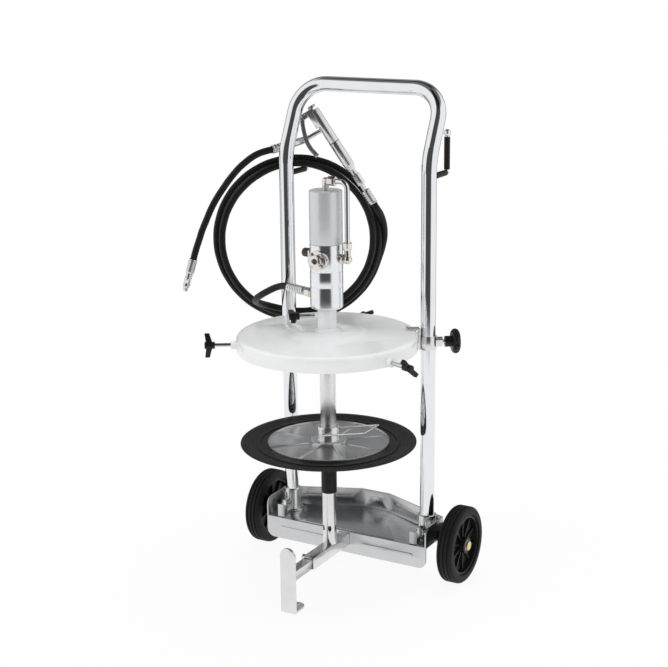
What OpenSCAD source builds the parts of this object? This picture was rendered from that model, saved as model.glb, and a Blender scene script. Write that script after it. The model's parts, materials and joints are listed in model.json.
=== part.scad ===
// Mobile grease pump: an air-driven drum pump with cover, follower plate, hose and
// control gun, carried on a two-wheel trolley with a sliding front foot.
// X runs to the right seen from the front, Y to the back and Z up. The origin is on the
// floor, at the centre of the front foot's ground face.

/* [Trolley frame] */
// Outer diameter of the bent frame tube
tube_d = 30; // [24:0.5:34]
// Wall of the frame tube
tube_wall = 2; // [1.5:0.25:3]
// Distance from the middle plane to the middle of each upright
frame_half_w = 162.5; // [160:0.5:175]
// Distance of the uprights behind the pump's axis
upright_y = 121; // [119:0.5:124]
// Height of the middle of the top bar
frame_top_z = 1003; // [960:1:1060]
// Height at which the uprights would meet their leaning parts
knee_z = 869; // [860:1:890]
// Lean of the handle to the back, in degrees
lean_a = 25.5; // [15:0.5:30]
// Bend radius of the two knees
knee_r = 100; // [60:5:110]
// Bend radius of the two top corners
corner_r = 62; // [50:1:80]

/* [Tray] */
// Sheet thickness of the tray
tray_t = 3; // [2:0.5:4]
// Distance of the tray's front edge behind the pump's axis
tray_front_y = 60; // [50:1:64]
// Distance of the tray's back flap behind the pump's axis
tray_back_y = 204; // [198:1:215]
// Width of the tray's straight rear edge at each side wall
tray_corner_w = 4; // [2:0.5:12]
// Half width of the back flap
flap_half_w = 33; // [25:1:45]
// Height of the tray's walls above its floor
wall_h = 40.5; // [30:0.5:46]
// Drop of the front skirt from the tray's top face
skirt_h = 47; // [40:1:60]
// Radius of the skirt's lower corners
skirt_r = 18; // [8:1:22]
// Height of the two front lugs
lug_h = 27; // [15:1:34]
// Width of the two front lugs
lug_w = 17; // [12:1:22]

/* [Sockets and axle] */
// Outer diameter of the upright sockets
socket_d = 38; // [36:0.5:42]
// Height of the upright sockets
socket_h = 48; // [30:1:70]
// Diameter of the socket's foot flange
socket_flange_d = 48; // [42:0.5:48.5]
// Diameter of the wheel axle
axle_d = 16; // [12:0.5:18]
// Distance of the wheel axle behind the pump's axis
axle_y = 136; // [130:0.5:140]
// Width of each axle bracket
bracket_w = 18; // [12:0.5:19]

/* [Wheels] */
// Outer diameter of the tyres
wheel_d = 160; // [150:1:170]
// Width of the tyres
wheel_w = 34; // [28:1:40]
// Gap between each axle bracket and the tyre beside it
wheel_gap = 3.5; // [2:0.5:12]
// Depth of the tyres from their tread to the wheel's plastic rim
tyre_t = 17; // [14:0.5:25]
// Wall of the wheel's plastic rim
rim_wall = 6; // [4:0.5:9]
// Diameter of the wheel's hub boss
hub_d = 33; // [28:0.5:40]
// Number of spokes of each wheel
spokes = 10; // [5:1:12]
// Diameter of the yellow axle caps
cap_d = 19; // [17:0.5:24]

/* [Front foot] */
// Outer width of the fixed square tube
arm_w = 25; // [22:0.5:28]
// Wall of the fixed square tube
arm_wall = 2; // [1.5:0.25:2.5]
// Distance from the pump's axis to the front end of the fixed square tube
arm_reach = 87; // [60:1:100]
// Distance from the pump's axis to the front face of the toe plate
toe_reach = 167; // [150:1:175]
// Width of the toe plate
toe_w = 34; // [26:1:44]
// Height of the toe plate
toe_h = 137; // [100:1:150]
// Thickness of the toe plate
toe_t = 5; // [4:0.5:7]
// Length of the ground lip, seen along the plate's thickness
lip_len = 46; // [30:1:60]

/* [Drum cover] */
// Outer diameter of the drum cover
cover_d = 360; // [350:1:362]
// Height of the cover's flat top face
cover_z = 533.5; // [525:0.5:540]
// Height of the cover's rim
cover_rim_h = 30.5; // [20:0.5:40]
// Sheet thickness of the cover
cover_t = 2; // [1.5:0.25:3]
// Edge radius between the cover's top and its rim
cover_edge_r = 8; // [4:0.5:12]
// Diameter of the cover's raised middle
dome_d = 139; // [110:1:170]
// Height of the cover's raised middle
dome_h = 8; // [4:0.5:9]
// Outer diameter of the cover's neck
neck_d = 38; // [36.5:0.5:40]

/* [Pump] */
// Outer diameter of the air motor
motor_d = 65; // [60:0.5:70]
// Height of the air motor's lower face
motor_z = 586; // [582:0.5:592]
// Length of the motor's machined lower body
body_h = 129; // [120:1:134]
// Length of the motor's upper cylinder
cylinder_h = 104.5; // [90:0.5:115]
// Wall of the motor's upper cylinder
cylinder_wall = 4; // [3:0.5:6]
// Outer diameter of the upper suction tube
suction_d = 32; // [31:0.5:33]
// Wall of the upper suction tube
suction_wall = 1.7; // [1.5:0.1:2]
// Outer diameter of the lower suction tube
lower_d = 28.4; // [27.5:0.1:28.4]
// Wall of the lower suction tube
lower_wall = 1.8; // [1.5:0.1:2.5]
// Height of the joint between the upper and the lower tube
tube_joint_z = 300; // [290:1:304]
// Outer diameter of the black sleeve below the follower
sleeve_d = 31.6; // [30.5:0.1:31.8]
// Height of the black sleeve's lower end
sleeve_z = 200; // [180:1:220]
// Diameter of the pump rod
rod_d = 10; // [8:0.5:12]
// Height of the grease outlet
outlet_z = 607.5; // [603:0.5:612]
// Height of the air inlet
inlet_z = 687; // [680:0.5:692]
// Diameter of the air inlet flange
inlet_d = 40; // [38:0.5:46]
// Outer diameter of the outside air pipe
pipe_d = 10; // [7:0.5:11]
// Distance of the outside air pipe from the pump's axis
pipe_x = 47.5; // [46:0.5:58]
// Height of the air pipe's upper run
pipe_top_z = 838; // [834:0.5:844]

/* [Follower plate] */
// Outer diameter of the rubber follower
rubber_d = 355; // [340:1:356]
// Thickness of the rubber follower
rubber_t = 4; // [3:0.5:6]
// Outer diameter of the steel dish
dish_d = 245; // [220:1:250]
// Gap between the steel dish and the rubber's ridge round it
ridge_gap = 15.5; // [4:0.5:20]
// Height of the follower rubber's lower face
follower_z = 302; // [301:0.5:306]
// Outer diameter of the follower's hub
follower_hub_d = 44.5; // [42:0.5:50]
// Height of the follower's hub
follower_hub_h = 34; // [25:1:40]
// Wire diameter of the bail
bail_d = 4; // [3:0.25:5]
// Reach of the bail from the hub's middle
bail_reach = 100; // [70:1:105]

/* [Screws and knobs] */
// Diameter of the wing screws
screw_d = 8; // [6:0.5:9]
// Span of the wing knobs
wing_span = 48; // [40:1:52]
// Diameter of the wing knob's hub
wing_hub_d = 14; // [12:0.5:16]
// Distance from the cover's rim to the middle of the rim knobs
rim_knob_out = 53; // [45:1:60]
// Diameter of the column clamp's round knob
round_knob_d = 50; // [40:1:56]
// Number of shallow scallops round that knob
scallops = 8; // [6:1:10]

/* [Hose and gun] */
// Outer diameter of the hoses
hose_d = 14; // [13:0.5:14]
// Mean radius of the first loop's start
coil_r = 151.5; // [150:0.5:156]
// Number of loops
coil_turns = 2.25; // [2.25:0.25:2.25]
// Outward step of the coil for each loop
coil_step_r = 13; // [13:0.5:15]
// Backward step of the coil for each loop
coil_step_b = 14.5; // [14.5:0.5:16]
// Diameter of the gun's barrel
gun_d = 22; // [20:0.5:23]
// Width of the gun's lever
lever_w = 10; // [8:0.5:12]

/* [Hidden] */
$fn = 64;
// Overrun of all cuts
over = 1;
// Gap between fixed pieces that fit into each other
fit_gap = 0.1;
// Gap between pieces that run on each other
run_gap = 0.05;
// Gap between moving pieces that pass each other
pass_gap = 0.3;
// Distance from the origin to the pump's axis
axis_y = toe_reach - lip_len / 2;
// The tray lies on the axle, and the square tube hangs below its floor
axle_z = wheel_d / 2;
floor_z = axle_z + axle_d / 2;
tray_z = floor_z + tray_t;

// Frame geometry
knee_start_z = knee_z - knee_r * tan(lean_a / 2);
knee_end_y = upright_y + knee_r * (1 - cos(lean_a));
knee_end_z = knee_start_z + knee_r * sin(lean_a);
lean_len = (frame_top_z - knee_end_z) / cos(lean_a) - corner_r;

// Lap of the straight stretches into the bends, and how much thicker a bend is
bend_lap = 0.5;
bend_step = 0.1;

// Tray details: each side wall passes close beside the socket's flange, and each rear wall
// runs straight from the flap past that flange to the side wall
socket_side_gap = 0.5;
socket_rear_gap = 0.4;
tray_half_w = frame_half_w + socket_flange_d / 2 + socket_side_gap + tray_t;
flap_run = [frame_half_w - flap_half_w, upright_y - tray_back_y];
rear_wall_a = atan2(flap_run.y, flap_run.x)
    + asin((socket_flange_d / 2 + socket_rear_gap + tray_t) / norm(flap_run));
tray_corner_y = tray_back_y + (tray_half_w - tray_corner_w - flap_half_w) * tan(rear_wall_a);
skirt_rib_w = 13;
skirt_rib_l = 122;
skirt_rib_t = 1.5;
skirt_rib_x = 100;
skirt_rib_z = 66;
wall_rib_w = 9;
wall_rib_t = 1;
wall_rib_share = 0.74;
flap_oval_w = 26;
panel_t = 1.5;
panel_front_share = 0.6;
panel_back_share = 0.75;
flap_oval_h = 14;
lug_in = 4.5;
lug_x = frame_half_w - lug_in;
lug_y = 66;
socket_foot_t = 4;
ear_w = 12;
ear_l = 14;
bolt_d = 6;
bolt_head_d = 11;
bolt_head_h = 4.5;
bolt_margin = 3;

// Axle and brackets
bracket_gap = 1.5;
bracket_x = tray_half_w + bracket_gap;
rim_d = wheel_d - 2 * tyre_t;
wheel_inner_x = bracket_x + bracket_w + wheel_gap;
wheel_outer_x = wheel_inner_x + wheel_w;
bracket_len = 50;
bracket_drop = 16;
cap_h = 5;
cap_proud = 2;
bush_wall = 2.5;
tread_groove_w = 3;
tread_groove_d = 2.5;
tread_grooves = 3;
tread_edge_r = 7;
tyre_lip = 3;
web_t = 5;
web_inset = 13;
spoke_t = 3;

// Front foot
inner_gap = 0.3;
inner_w = arm_w - 2 * arm_wall - 2 * inner_gap;
inner_wall = 2;
arm_z = floor_z - arm_w / 2;
arm_back_y = axle_y - axle_d / 2 - pass_gap;
inner_back_y = 0;
arm_screw_y = -66;
arm_screw_d = 8;
arm_screw_head_d = 13;
arm_screw_head_h = 6;
arm_boss_d = 15;
arm_boss_h = 4;

// Hangers
hanger_left_z = 823.5;
hanger_right_z = 837;
hanger_d = 9;
hanger_sleeve_d = 12;
hanger_back = 77;
hanger_left_h = 24;
hanger_right_h = 78;
hanger_ball_d = 15;
hanger_bare = 12;
gun_peg_z = 922;
gun_peg_d = 7;
gun_peg_len = 46;
gun_peg_tip = 12;

// Column clamp
collar_z = 493;
collar_h = 27;
collar_d = 34;
clamp_nut_d = 18;
clamp_nut_l = 12;
hook_w = 20;
hook_t = 3;
hook_in = 26;
hook_lip = 2;
clamp_screw_out = 24;
knob_hub_d = 22;
knob_hub_l = 13;
knob_disc_t = 16;
scallop_depth = 2.5;
clamp_knob_gap = 5.2;
// The screw stands this far back from the upright, so that the collar slides
clamp_loose = 5;
clamp_turn = atan2(upright_y, frame_half_w);

// Cover and its screws
rim_knob_r = cover_d / 2 + rim_knob_out;
boss_d = 17;
boss_l = 12;
screw_in = 6;
rim_screw_drop = 21;
rim_left_a = 211;
rim_right_a = 340;
rim_back_a = 101.5;
neck_screw_a = 218;
neck_screw_z = 571;
neck_knob_r = 65;
neck_knob_turn = 80;
rim_left_turn = 0;
rim_right_turn = 45;
rim_back_turn = 70;
neck_flange_d = 56;
neck_flange_h = 5;
neck_boss_d = 13;
neck_boss_l = 6;
wing_hub_l = 20;
wing_t = 8;
wing_root = 13;
wing_tip = 9;
wing_sweep = 5;
knob_screw_depth = 14;

// Motor
groove_d = 1.2;
groove_w = 2;
groove_low_z = 630.5;
groove_high_z = 661.5;
body_edge_r = 5;
lid_t = 5;
piston_t = 14;
piston_rest = 6;
seal_w = 3;
seal_d = 2.5;
rod_bottom_z = 156;
plunger_h = 20;
flange_t = 6;
flange_nose_d = 24;
flange_nose_l = 7;
inlet_bore_r = 5.7;
inlet_bore_l = 12;
flange_screw_pcd = 31.6;
flange_screw_d = 4;
flange_screw_head = 7;
silencer_d = 18;
silencer_l = 20;
elbow_hex = 17;
elbow_hex_l = 9;
elbow_neck_share = 0.75;
elbow_ball_d = 18;
elbow_neck_l = 10;
nut_hex = 17;
nut_h = 14;
pipe_bend_r = 14;
pipe_wall = 1.2;
top_block_d = 13;
top_nut_l = 16;
outlet_a = 160;
outlet_hex = 19;
outlet_l = 14;
outlet_bore = 8;
ferrule_d = 18;
ferrule_end_r = 121;
hole_w = 7;
hole_h = 12;
hole_z = 124;
tube_in_body = 16;
tube_overlap = 30;
valve_h = 12;
ball_d = 12;
valve_bore = 9;

// Follower
dish_t = 2;
dish_edge_h = 5;
dish_rib_n = 8;
dish_rib_w = 5;
dish_rib_h = 2;
hub_foot_d = 72;
hub_foot_h = 5;
pin_drop = 14;
bail_half_w = 29;
bail_lift = 12;
bail_gap = 0.5;
ridge_h = 2;
ridge_w = 6;
ridge_d = dish_d + 2 * (ridge_gap + ridge_w);
lip_t = 1.5;
lip_rise = 6;

// Coil: its middle, its plane's turn and the first loop's place
coil_x = -143;
coil_y = 132.3;
coil_z = 676.5;
coil_turn = 30;
coil_b = 33;
coil_start_a = 255;
// The loops widen over these turns, and the first one rises a little over its hanger
coil_spread_turns = 1.8;
coil_rise = 6;
coil_rise_step = 4;
lead_share = 0.016;
coil_sides = 6;
coil_rings = 24;
hose_sides = 10;

// Gun: the head's place and the direction of its barrel
gun_x = -130.8;
gun_y = 180;
gun_z = 948.3;
gun_yaw = 27.2;
gun_tilt = 147.7;
barrel_l = 77;
barrel_gap = 0.6;
barrel_two_l = 55;
barrel_taper_l = 12;
gun_neck_d = 12;
gun_neck_l = 13;
gun_nut_hex = 17;
gun_nut_l = 24;
gun_stem_d = 10;
gun_stem_l = 15;
gun_ferrule_l = 32;
gun_ferrule_d = 14;
lever_t = 3;
lever_depth = 8;
lever_pin_d = 5;
head_w = 20;
head_l = 40;
head_out_share = 0.75;
head_lug_share = 0.6;
lug_out = 17;
outlet_pipe_d = 9;
outlet_nut_d = 15;
lever_reach = 26;
lever_len = 84;
lever_bow_shares = [[0, 0], [0.34, 0.06], [0.7, 0.3], [0.96, 0.57], [1, 0.76], [0.88, 1]];
coupler_d = 15;
coupler_l = 32;
coupler_tip_d = 11;
coupler_tip_l = 8;
coupler_bore = 6;

// Route of the delivery hose from its ferrule to the coil
lead_route = [
    [-128.9, 45.7, 606.3], [-144, 47.4, 602.2], [-158.5, 47.1, 595.6], [-172.3, 47.2, 588],
    [-185.8, 49.7, 580.1], [-198.3, 55.6, 572.3], [-208.6, 64.9, 565], [-215.9, 77.1, 558],
    [-219.4, 91.1, 551.6], [-218.7, 105.7, 545.5], [-213.9, 119.6, 539.8],
];
// Route of the delivery hose from the coil to the gun
tail_route = [
    [-20, 276, 665], [-16, 273, 684], [-14, 267, 702], [-13, 259, 717], [-14, 250, 732],
];
// Route of the short hose from the gun's pipe to the coupler
whip_route = [
    [-199, 125, 870], [-210, 116, 867], [-222, 107, 862], [-234, 99, 854], [-245, 92, 844],
    [-256, 86, 833], [-265, 80, 821], [-274, 74, 808], [-282, 69, 795], [-291.5, 63, 779],
    [-300, 56.5, 762], [-307.5, 51, 744], [-314.5, 45.5, 724], [-321, 41, 706], [-326, 37, 688],
    [-332, 32, 666], [-337, 28, 645],
];
outlet_pipe_from = [-118, 200, 908];
outlet_pipe_mid = [-156, 183, 885];
outlet_pipe_to = [-181, 147, 876];
whip_end = [-344, 23, 616];

// Heights and places that several pieces share
cylinder_z = motor_z + body_h;
top_z = cylinder_z + cylinder_h;
top_block_h = pipe_top_z - top_z + top_block_d / 2;
ferrule_start_r = motor_d / 2 + fit_gap + outlet_l;
hub_bore = suction_d + 2 * pass_gap;
dish_z = follower_z + rubber_t;
barrel_two_z = barrel_l + barrel_gap;
gun_neck_z = barrel_two_z + barrel_two_l + barrel_taper_l;
gun_nut_z = gun_neck_z + gun_neck_l;
gun_stem_z = gun_nut_z + gun_nut_l;
gun_ferrule_z = gun_stem_z + gun_stem_l;
gun_tail_z = gun_ferrule_z + gun_ferrule_l;
lever_pin_x = head_w / 2 + lug_out - lever_pin_d;
lever_points = [for (q = lever_bow_shares) [lever_pin_x + q.x * lever_reach, q.y * lever_len]];

// Places a piece in the pump-axis frame
module at_axis() {
    translate([0, axis_y, 0]) children();
}

// A ring or tube from z = 0 up
module pipe(d, bore, h) {
    difference() {
        cylinder(d = d, h = h);
        translate([0, 0, -over]) cylinder(d = bore, h = h + 2 * over);
    }
}

// A rod between two points
module rod(a, b, d) {
    v = b - a;
    l = norm(v);
    translate(a) rotate([0, acos(v.z / l), atan2(v.y, v.x)]) cylinder(d = d, h = l);
}

// A cylinder along +X from x = 0
module bar_x(d, l) {
    rotate([0, 90, 0]) cylinder(d = d, h = l);
}

// A hexagonal bar along +Z, measured across its flats
module hex_bar(flats, h) {
    cylinder(d = flats / cos(30), h = h, $fn = 6);
}

// A flat slot outline with round ends, along X
module stadium(l, w) {
    union() {
        square([l - w, w], center = true);
        translate([(l - w) / 2, 0]) circle(d = w);
        translate([-(l - w) / 2, 0]) circle(d = w);
    }
}

// The direction of a path at one of its points
function path_dir(p, i) =
    let (v = p[min(i + 1, len(p) - 1)] - p[max(i - 1, 0)])
    v / norm(v);

// The path's own up direction, square to its run
function path_up(dir) =
    let (
        side = abs(dir.z) < 0.9 ? [0, 0, 1] : [1, 0, 0],
        u = side - dir * (side * dir)
    )
    u / norm(u);

// Carries the up direction along the path, so that the tube doesn't twist
function carry_up(p, i, up) =
    let (dir = path_dir(p, i), u = up - dir * (up * dir))
    u / norm(u);

function path_ups(p) =
    [for (i = 0, up = path_up(path_dir(p, 0)); i < len(p);
        i = i + 1, up = i < len(p) ? carry_up(p, i, up) : up) up];

// One closed tube swept along a path
module swept_tube(path, d, sides) {
    ups = path_ups(path);
    rings = len(path);
    points = [
        for (i = [0:rings - 1])
            let (dir = path_dir(path, i), up = ups[i], side = cross(dir, up))
            for (k = [0:sides - 1])
                path[i] + (up * cos(360 * k / sides) + side * sin(360 * k / sides)) * d / 2
    ];
    walls = [
        for (i = [0:rings - 2])
            for (k = [0:sides - 1])
                let (
                    a = i * sides + k,
                    b = i * sides + (k + 1) % sides,
                    c = a + sides,
                    e = b + sides
                )
                each [[a, e, b], [a, c, e]]
    ];
    last = (rings - 1) * sides;
    ends = [
        for (k = [1:sides - 2]) [0, k, k + 1],
        for (k = [1:sides - 2]) [last, last + k + 1, last + k],
    ];
    polyhedron(points = points, faces = concat(walls, ends));
}

// Points of the coil, numbered from its start at the front of the lower left
function coil_point(turns) =
    let (
        a = coil_start_a + 360 * turns,
        r = coil_r + coil_step_r * max(min(turns, coil_spread_turns), 0),
        b = coil_b + coil_step_b * turns,
        rise = max(coil_rise - coil_rise_step * turns, 0) * pow(max(sin(a), 0), 8)
    )
    [
        coil_x + r * cos(a) * cos(coil_turn) - b * sin(coil_turn),
        coil_y + r * cos(a) * sin(coil_turn) + b * cos(coil_turn),
        coil_z + r * sin(a) + rise,
    ];
coil_path = [for (i = [0:coil_rings * coil_turns]) coil_point(i / coil_rings)];
// Least distance between neighbouring loops, less the hose's own diameter
coil_gap = min([
    for (i = [0:len(coil_path) - 1])
        for (j = [i + coil_rings / 2:len(coil_path) - 1])
            norm(coil_path[i] - coil_path[j])
]) - hose_d;

function route_length(p) = sum_steps(p, 1, 0);
function sum_steps(p, i, total) =
    i >= len(p) ? total : sum_steps(p, i + 1, total + norm(p[i] - p[i - 1]));

lead_path = concat(
    [outlet_point(ferrule_end_r)],
    lead_route,
    [coil_point(-lead_share), coil_point(0)]
);
tail_end = gun_point(gun_tail_z);
tail_path = concat(
    [coil_point(coil_turns), coil_point(coil_turns + lead_share)],
    tail_route,
    [gun_point(gun_tail_z + hose_d), tail_end]
);
echo(coil_gap = coil_gap);
echo(
    delivery_hose = route_length(coil_path) + route_length(lead_path) + route_length(tail_path),
    whip_hose = route_length(whip_route)
);

// The frame's tube section, thicker by a given step all round and inside
module tube_ring(step) {
    difference() {
        circle(d = tube_d + 2 * step, $fn = 64);
        circle(d = tube_d - 2 * tube_wall - 2 * step, $fn = 64);
    }
}

// A straight stretch along +Z that reaches into the bends at its ends
module tube_straight(l, low, high) {
    translate([0, 0, -low]) linear_extrude(l + low + high) tube_ring(0);
}

// A bend of the frame tube that starts along +Z at the origin and turns towards -X
module tube_bend(r, a) {
    translate([-r, 0, 0]) rotate([90, 0, 0])
        rotate_extrude(angle = a, $fn = 120) translate([r, 0]) tube_ring(bend_step);
}

module frame_tube() {
    color("silver") at_axis() {
        for (side = [-1, 1]) {
            translate([side * frame_half_w, upright_y, tray_z])
                tube_straight(knee_start_z - tray_z, 0, bend_lap);
            translate([side * frame_half_w, upright_y, knee_start_z]) rotate([0, 0, -90])
                tube_bend(knee_r, lean_a);
        }
        translate([0, knee_end_y, knee_end_z]) rotate([-lean_a, 0, 0]) {
            for (turn = [0, 180]) {
                rotate([0, 0, turn]) translate([frame_half_w, 0, 0]) {
                    tube_straight(lean_len, bend_lap, bend_lap);
                    translate([0, 0, lean_len]) tube_bend(corner_r, 90);
                }
            }
            translate([-(frame_half_w - corner_r), 0, lean_len + corner_r])
                rotate([0, 90, 0]) tube_straight(2 * (frame_half_w - corner_r), bend_lap, bend_lap);
        }
    }
}

// The room that the left leaning tube and both uprights take, with a small gap
module frame_room() {
    for (side = [-1, 1]) {
        translate([side * frame_half_w, upright_y, tray_z])
            cylinder(d = tube_d + 2 * fit_gap, h = knee_start_z - tray_z);
    }
    translate([-frame_half_w, knee_end_y, knee_end_z]) rotate([-lean_a, 0, 0])
        cylinder(d = tube_d + 2 * fit_gap, h = lean_len);
}

module tray_outline() {
    polygon([
        [-tray_half_w, tray_front_y], [tray_half_w, tray_front_y],
        [tray_half_w, tray_corner_y], [tray_half_w - tray_corner_w, tray_corner_y],
        [flap_half_w, tray_back_y], [-flap_half_w, tray_back_y],
        [-tray_half_w + tray_corner_w, tray_corner_y], [-tray_half_w, tray_corner_y],
    ]);
}

// The raised panel between the floor's two diagonal creases
module panel_outline() {
    front_w = tray_half_w * panel_front_share;
    back_w = flap_half_w * panel_back_share;
    polygon([
        [-front_w, tray_front_y + 2 * tray_t], [front_w, tray_front_y + 2 * tray_t],
        [back_w, tray_back_y - 4 * tray_t], [-back_w, tray_back_y - 4 * tray_t],
    ]);
}

// A folded wall to the left of a line from a to b, with one pressed rib inside
module tray_wall(a, b, rib_l, rib_w) {
    v = b - a;
    l = norm(v);
    translate([a.x, a.y, floor_z]) rotate([0, 0, atan2(v.y, v.x)]) {
        cube([l, tray_t, wall_h + tray_t]);
        translate([l / 2, tray_t + wall_rib_t, tray_t + wall_h / 2])
            rotate([90, 0, 0]) linear_extrude(2 * wall_rib_t) stadium(rib_l, rib_w);
    }
}

// The front skirt's outline, whose top edge lies at y = 0, open for the square tube
module skirt_outline() {
    difference() {
        translate([-tray_half_w, -skirt_h]) union() {
            translate([skirt_r, 0]) square([2 * (tray_half_w - skirt_r), skirt_h]);
            translate([0, skirt_r]) square([2 * tray_half_w, skirt_h - skirt_r]);
            translate([skirt_r, skirt_r]) circle(r = skirt_r);
            translate([2 * tray_half_w - skirt_r, skirt_r]) circle(r = skirt_r);
        }
        translate([-arm_w / 2 - pass_gap, -tray_t - arm_w - pass_gap])
            square([arm_w + 2 * pass_gap, arm_w + pass_gap]);
    }
}

// A side wall's outline, along the tray's depth, with a round front corner
module side_outline() {
    depth = tray_corner_y - tray_front_y;
    translate([tray_front_y, 0]) union() {
        square([depth, wall_h + tray_t - skirt_r]);
        translate([skirt_r, 0]) square([depth - skirt_r, wall_h + tray_t]);
        translate([skirt_r, wall_h + tray_t - skirt_r]) circle(r = skirt_r);
    }
}

module base_tray() {
    corner = [tray_half_w - tray_corner_w, tray_corner_y];
    flap = [flap_half_w, tray_back_y];
    rear_l = norm(corner - flap);
    color("lightsteelblue") at_axis() {
        translate([0, 0, floor_z]) linear_extrude(tray_t) tray_outline();
        translate([0, 0, floor_z]) linear_extrude(tray_t + panel_t) panel_outline();
        translate([0, tray_front_y + tray_t, tray_z])
            rotate([90, 0, 0]) linear_extrude(tray_t) skirt_outline();
        for (side = [-1, 1]) {
            translate([side * skirt_rib_x, tray_front_y, skirt_rib_z])
                rotate([90, 0, 0]) linear_extrude(skirt_rib_t) stadium(skirt_rib_l, skirt_rib_w);
            translate([side * lug_x - lug_w / 2, lug_y, floor_z])
                cube([lug_w, tray_t, tray_t + lug_h]);
            translate([side * (lug_x + lug_w / 2 - tray_t / 2) - tray_t / 2, lug_y, floor_z])
                cube([tray_t, lug_w, tray_t + lug_h / 2]);
            translate([side * (tray_half_w - tray_t / 2) - tray_t / 2, 0, floor_z])
                rotate([90, 0, 90]) linear_extrude(tray_t) side_outline();
        }
        tray_wall(corner, flap, rear_l * wall_rib_share, wall_rib_w);
        mirror([1, 0, 0]) tray_wall(corner, flap, rear_l * wall_rib_share, wall_rib_w);
        tray_wall(flap, [-flap_half_w, tray_back_y], flap_oval_w, flap_oval_h);
    }
}

module tube_sockets() {
    color("silver") at_axis() for (side = [-1, 1]) {
        translate([side * frame_half_w, upright_y, tray_z]) difference() {
            union() {
                cylinder(d = socket_d, h = socket_h);
                cylinder(d = socket_flange_d, h = socket_foot_t);
                translate([-ear_w / 2, -socket_d / 2 - ear_l, socket_foot_t])
                    cube([ear_w, ear_l + tube_wall, socket_h / 2]);
            }
            translate([0, 0, -over]) cylinder(d = tube_d + 2 * fit_gap, h = socket_h + 2 * over);
            translate([-ear_w / 2 - over, -socket_d / 2 - ear_l / 2, socket_foot_t + socket_h / 4])
                bar_x(bolt_d + 2 * fit_gap, ear_w + 2 * over);
        }
    }
}

module socket_bolts() {
    color("gainsboro") at_axis() for (side = [-1, 1]) {
        translate([side * frame_half_w, upright_y - socket_d / 2 - ear_l / 2,
            tray_z + socket_foot_t + socket_h / 4]) {
            translate([-ear_w / 2 - bolt_margin, 0, 0]) bar_x(bolt_d, ear_w + 2 * bolt_margin);
            translate([-ear_w / 2 - bolt_head_h, 0, 0]) rotate([0, 90, 0])
                hex_bar(bolt_head_d, bolt_head_h);
            translate([ear_w / 2, 0, 0]) rotate([0, 90, 0]) hex_bar(bolt_head_d, bolt_head_h);
        }
    }
}

module axle() {
    color("silver") at_axis()
        translate([-wheel_outer_x + cap_proud, axle_y, axle_z])
            bar_x(axle_d, 2 * (wheel_outer_x - cap_proud));
}

module axle_brackets() {
    color("dimgray") at_axis() for (side = [-1, 1]) {
        translate([side * (bracket_x + bracket_w / 2), axle_y, 0]) difference() {
            union() {
                translate([-bracket_w / 2, -bracket_len / 2, axle_z - bracket_drop])
                    cube([bracket_w, bracket_len, bracket_drop + tray_z - axle_z + wall_h / 2]);
                translate([-side * (bracket_w + bracket_gap) / 2 - bracket_gap / 2, -bracket_len / 2,
                    tray_z])
                    cube([bracket_gap, bracket_len, wall_h / 2]);
            }
            translate([-bracket_w, 0, axle_z]) bar_x(axle_d + 2 * fit_gap, 2 * bracket_w);
        }
    }
}

module axle_caps() {
    color("khaki") at_axis() for (side = [-1, 1]) {
        translate([side * wheel_outer_x, axle_y, axle_z]) rotate([0, side * 90, 0]) {
            translate([0, 0, pass_gap]) cylinder(d = cap_d, h = cap_h);
            translate([0, 0, -cap_proud]) cylinder(d = axle_d - 2 * bolt_margin, h = cap_proud + cap_h);
        }
    }
}

// Places a wheel's pieces, whose outer face is at z = 0 and whose body runs to negative z
module at_wheel(side) {
    at_axis() translate([side * wheel_outer_x, axle_y, axle_z]) rotate([0, side * 90, 0]) children();
}

module tyre(side) {
    r = wheel_d / 2;
    color("dimgray") at_wheel(side) difference() {
        rotate_extrude($fn = 128) difference() {
            translate([rim_d / 2 + fit_gap, -wheel_w]) union() {
                square([r - rim_d / 2 - fit_gap - tread_edge_r, wheel_w]);
                translate([0, tread_edge_r]) square([r - rim_d / 2 - fit_gap, wheel_w - 2 * tread_edge_r]);
                translate([r - rim_d / 2 - fit_gap - tread_edge_r, tread_edge_r]) circle(r = tread_edge_r);
                translate([r - rim_d / 2 - fit_gap - tread_edge_r, wheel_w - tread_edge_r])
                    circle(r = tread_edge_r);
            }
            for (i = [1:tread_grooves]) {
                translate([r - tread_groove_d, -wheel_w * i / (tread_grooves + 1) - tread_groove_w / 2])
                    square([tread_groove_d + over, tread_groove_w]);
            }
        }
    }
}

module wheel(side) {
    color("black") at_wheel(side) difference() {
        union() {
            translate([0, 0, -wheel_w + tyre_lip])
                pipe(rim_d, rim_d - 2 * rim_wall, wheel_w - 2 * tyre_lip);
            translate([0, 0, -wheel_w]) cylinder(d = hub_d, h = wheel_w);
            translate([0, 0, -wheel_w / 2 - web_t / 2]) cylinder(d = rim_d - rim_wall, h = web_t);
            for (i = [0:spokes - 1]) {
                rotate([0, 0, 360 * i / spokes])
                    translate([0, -spoke_t / 2, -wheel_w + tyre_lip + web_inset / 2])
                        cube([rim_d / 2 - rim_wall / 2, spoke_t, wheel_w - 2 * tyre_lip - web_inset]);
            }
        }
        translate([0, 0, -wheel_w - over])
            cylinder(d = axle_d + 2 * bush_wall + 2 * fit_gap, h = wheel_w + 2 * over);
    }
}

module bush(side) {
    color("linen") at_wheel(side)
        translate([0, 0, -wheel_w]) pipe(axle_d + 2 * bush_wall, axle_d + 2 * run_gap, wheel_w);
}

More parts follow.
